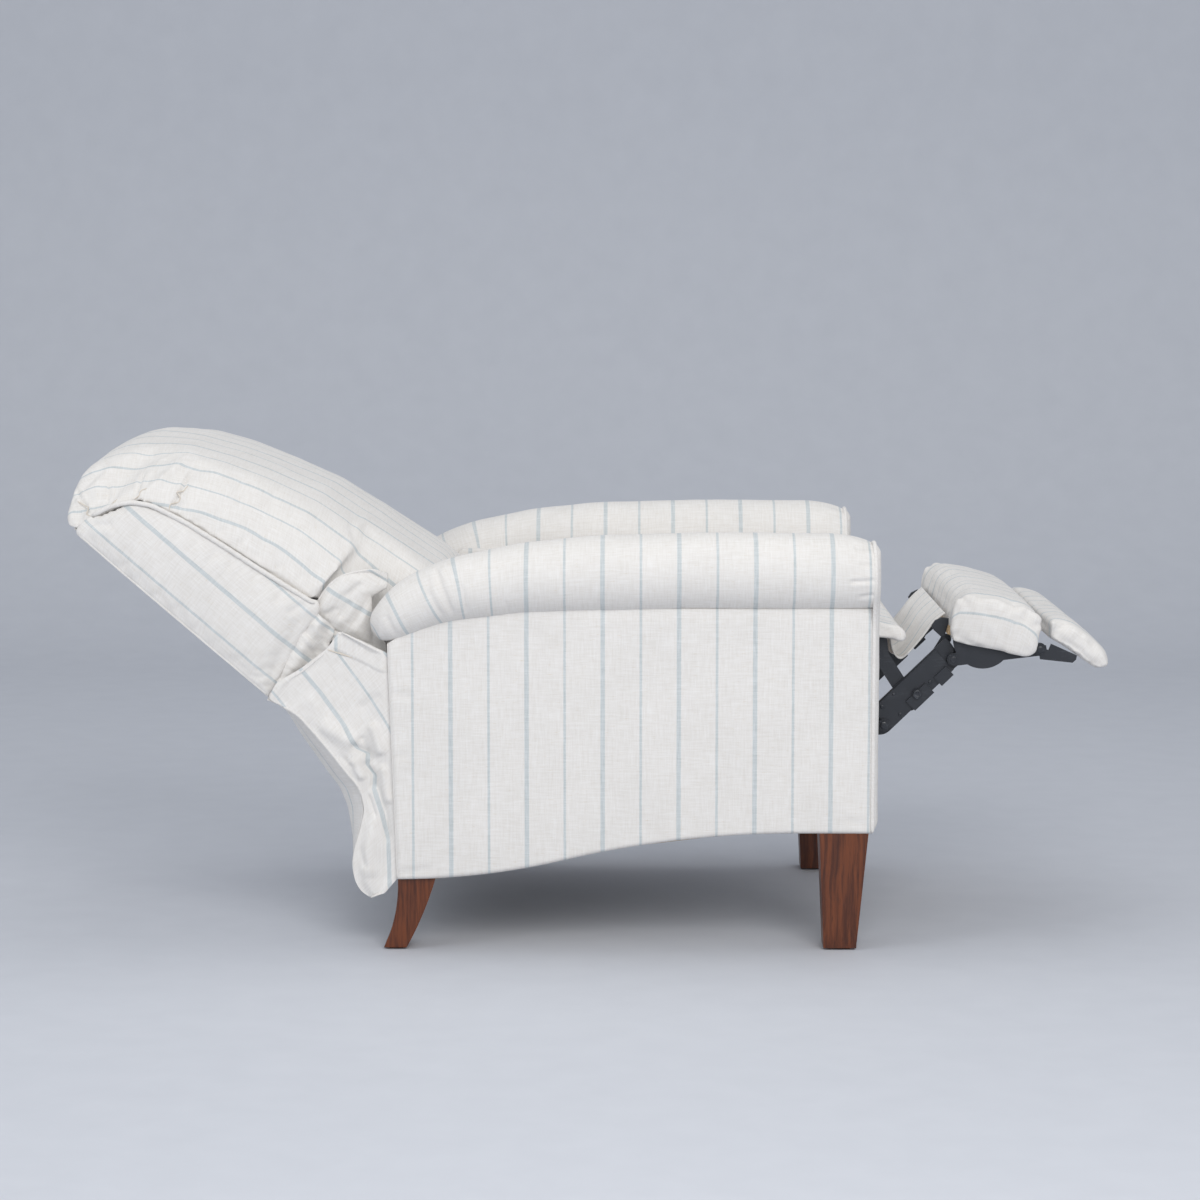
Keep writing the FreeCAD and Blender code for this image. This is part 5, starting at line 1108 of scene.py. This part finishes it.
def hidden_cloth():
    lo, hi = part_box("dust_cover")
    nu, nv = 60, 50
    x = np.linspace(lo.x, hi.x, nu)
    y = np.linspace(lo.y + 0.0005, hi.y - 0.0005, nv)
    X, Y = np.meshgrid(x, y, indexing="ij")
    t = np.clip((X - lo.x - 0.025) / (hi.x - lo.x - 0.05), 0, 1)
    Z = lo.z + 0.001 + t * (hi.z - lo.z - 0.002)
    sag = np.sin(t * math.pi) * np.cos(Y / 0.262 * math.pi / 2)
    Z = Z - 0.006 * sag + 0.0015 * np.sin(X * 40) * np.sin(Y * 37) * sag
    grid = np.stack([X, Y, Z], axis=2)
    ob = lap_sheet("dust_cover_cloth", grid, 0.0012, LINING, Y, X)
    dress(ob, "root", nodes=["dust_cover"])
    tilt = math.radians(SEAT[1])
    straps("seat_webbing", "seat", np.array([math.cos(tilt), 0, -math.sin(tilt)]), 2)
    straps("back_webbing", "back", UP_BACK, 0)


def straps(node_name, body, across, axis):
    """One sagging strap of jute for each strap of a CAD node, their widths along a direction."""
    normal = np.cross(across, (0, 1, 0))
    if normal[axis] > 0:
        normal = -normal
    co = np.array([v.co for v in NODES[node_name].data.vertices])
    key, level = co @ across, co @ normal
    order = np.sort(key)
    starts = sorted(set(np.round([order[0], *order[1:][np.diff(order) > STRAP_GAP]], 4)))
    mid = (level.min() + level.max()) / 2
    wide = np.abs(co[:, 1]).max()
    y = np.linspace(-wide, wide, 40)
    k = np.linspace(0, STRAP_WIDTH, 7)
    sag = 0.006 * np.cos(y / wide * math.pi / 2)
    lows = [s for s in starts if np.any(np.abs(key - s - STRAP_WIDTH) < 0.002)]
    for i, start in enumerate(lows):
        grid = ((start + k)[None, :, None] * across + (mid + sag)[:, None, None] * normal
                + y[:, None, None] * np.array([0, 1.0, 0]))
        piece = lap_sheet(f"{node_name}_strap_{i}", grid, 0.0023, JUTE, np.repeat(k[None, :], 40, axis=0) * 2,
                          np.repeat(y[:, None], 7, axis=1))
        dress(piece, body, nodes=[node_name] if i == 0 else ())


# Steel and wood


def bevel(ob, width, segments, angle=None):
    """Rounds a piece's edges, or only the sharp ones where an angle is given."""
    mod = ob.modifiers.new("edge", "BEVEL")
    mod.width, mod.segments = width, segments
    if angle:
        mod.limit_method = "ANGLE"
        mod.angle_limit = math.radians(angle)


def dome(name, x, y, z, radius, height, sign, hexed):
    """Rivet or bolt head: a hexagon under a low dome, facing out."""
    co = []
    rings = [(1.0, 0.0), (1.0, 0.55), (0.93, 0.72), (0.72, 0.90), (0.40, 0.98), (0.0, 1.0)]
    if hexed:
        rings = [(1.0, 0.0), (1.0, 0.78), (0.90, 0.95), (0.55, 1.0), (0.50, 0.88), (0.0, 0.88)]
    sides = 24
    for k, (share, h) in enumerate(rings[:-1]):
        for j in range(sides):
            a = 2 * math.pi * j / sides
            r = radius * share
            if hexed and k < 2:
                b = (a + math.pi / 6) % (math.pi / 3) - math.pi / 6
                r *= math.cos(math.pi / 6) / math.cos(b) * 1.02
            co.append((x + r * math.cos(a), y + sign * height * h, z + r * math.sin(a)))
    faces = grid_faces(len(rings) - 1, sides, True)
    co.append((x, y + sign * height * rings[-1][1], z))
    last = (len(rings) - 2) * sides
    faces += [(last + j, last + (j + 1) % sides, len(co) - 1) for j in range(sides)]
    faces.append(tuple(range(sides))[::-1])
    ob = mesh_object(name, co, faces, RIVET)
    bevel(ob, 0.0003, 2)
    return ob


def hardware():
    """Rivet heads on the pins and the bolt with its nut on the lift bar."""
    heads = [("bar_bolt", 0.515, 0.382, 0.2356, 0.0072, 0.0042, "swing_links", True),
             ("tail_rivet", 0.464, 0.333, 0.2370, 0.0062, 0.0022, "drive_links", False),
             ("pad_rivet", 0.5707, 0.4366, 0.2416, 0.0055, 0.0010, "lift_bars", False),
             ("extension_rivet", 0.704, 0.453, 0.2466, 0.0060, 0.0018, "footrest", False)]
    foot, head = np.array([0.464, 0.333]), np.array([0.5707, 0.4366])
    length = np.linalg.norm(head - foot)
    run = (head - foot) / length
    up = np.array([-run[1], run[0]])
    for i, (share, off, r) in enumerate([(0.12, 0.022, 0.0034), (0.20, -0.006, 0.0028), (0.30, 0.024, 0.0026),
                                         (0.66, -0.002, 0.0030)]):
        at = foot + run * share * length + up * off
        heads.append((f"bar_rivet_{i}", *at, 0.2296, r, 0.0014, "lift_bars", False))
    for name, x, z, y, r, h, body, hexed in heads:
        for sign, side in ((-1, "right"), (1, "left")):
            dress(dome(f"{name}_{side}", x, sign * y, z, r, h, sign, hexed), body)


# Radius and steps of the kept nodes' edges
EDGES = {"front_leg": (0.0022, 3), "rear_leg": (0.0022, 3), "leg_glides": (0.0006, 2)}
EDGES.update({kind: (0.0005, 2) for kind in ("lift_bar", "swing_link", "footrest_bracket", "extension_brackets",
                                             "side_plate")})


def kept_nodes():
    """The CAD pieces that show as they are, each with its material."""
    looks = {"leg_wood": LEG_WOOD, "frame_wood": FRAME_WOOD, "mechanism_steel": STEEL, "glide_plastic": GLIDE,
             "lining_cloth": LINING, "webbing": JUTE, "cover_fabric": STRIPED}
    slots = {s["node"]: s.get("material_slot") for s in frame["record"]["subparts"]}
    for name, ob in NODES.items():
        mat = looks[slots.get(name, "mechanism_steel")]
        if ob.material_slots:
            for slot in ob.material_slots:
                slot.material = mat
        else:
            ob.data.materials.append(mat)
    for name, ob in NODES.items():
        kind = name.replace("_left", "").replace("_right", "")
        if kind in EDGES:
            bevel(ob, *EDGES[kind], 35)


# Stage


def stage():
    g = Graph("pale_floor")
    speck = g.noise(g.node("ShaderNodeTexCoord", "Object"), 14.0, 4.0)
    g.feed(g.bsdf.inputs["Base Color"], g.mix(speck, (0.585, 0.605, 0.655), (0.635, 0.655, 0.705)))
    g.feed(g.bsdf.inputs["Roughness"], 0.6)
    g.feed(g.bsdf.inputs["Specular IOR Level"], 0.3)
    radius, rise = 1.6, 7.0
    front, bend = -4.0, 3.0
    line = [(front, 0.0), (bend, 0.0)]
    line += [(bend + radius * math.sin(a), radius - radius * math.cos(a)) for a in np.linspace(0, math.pi / 2, 16)[1:]]
    line.append((bend + radius, rise))
    co = [(x, y, z) for y, z in line for x in (-14.0, 14.0)]
    faces = [(2 * i, 2 * i + 1, 2 * i + 3, 2 * i + 2) for i in range(len(line) - 1)]
    floor = mesh_object("floor", co, faces, g.mat, fix=False)
    co = [(-14.0, -14.0, 0.0), (14.0, -14.0, 0.0), (14.0, front, 0.0), (-14.0, front, 0.0)]
    apron = mesh_object("floor_front", co, [(0, 1, 2, 3)], g.mat, fix=False)
    world = bpy.data.worlds.new("studio")
    SCENE.world = world
    world.use_nodes = True
    back = world.node_tree.nodes["Background"]
    back.inputs["Color"].default_value = (0.93, 0.96, 1.0, 1.0)
    back.inputs["Strength"].default_value = 0.60
    for name, place, aim, size, power, colour in (
            ("key", (0.9, -3.9, 2.7), (0.0, 0.0, 0.45), 2.6, 92.0, (1.0, 0.99, 0.975)),
            ("top", (0.2, 0.4, 3.4), (0.0, 0.0, 0.4), 2.4, 12.0, (1.0, 1.0, 1.0)),
            ("side", (-3.4, -2.2, 2.0), (-0.1, 0.0, 0.5), 2.0, 24.0, (0.96, 0.98, 1.0))):
        data = bpy.data.lights.new(name, "AREA")
        data.shape = "DISK"
        data.size, data.energy, data.color = size, power, colour
        lamp = bpy.data.objects.new(name, data)
        lamp.location = place
        lamp.rotation_euler = (Vector(aim) - Vector(place)).to_track_quat("-Z", "Y").to_euler()
        SCENE.collection.objects.link(lamp)
    data = bpy.data.cameras.new("camera")
    data.sensor_width = 36.0
    data.lens = 93.5
    camera = bpy.data.objects.new("camera", data)
    camera.location = (0.064, -5.040, 1.055)
    camera.rotation_euler = (math.radians(83.75), 0.0, math.radians(0.5))
    SCENE.collection.objects.link(camera)
    SCENE.camera = camera
    SCENE.view_settings.view_transform = "Standard"


for build in (stage, kept_nodes, back_cushion, side_panels, outside_back, arms, seat_cushion, footrest_pad, extension,
              gap_flap, drop_cloth, gussets, side_tails, wing_tucks, hidden_cloth, hardware):
    build()
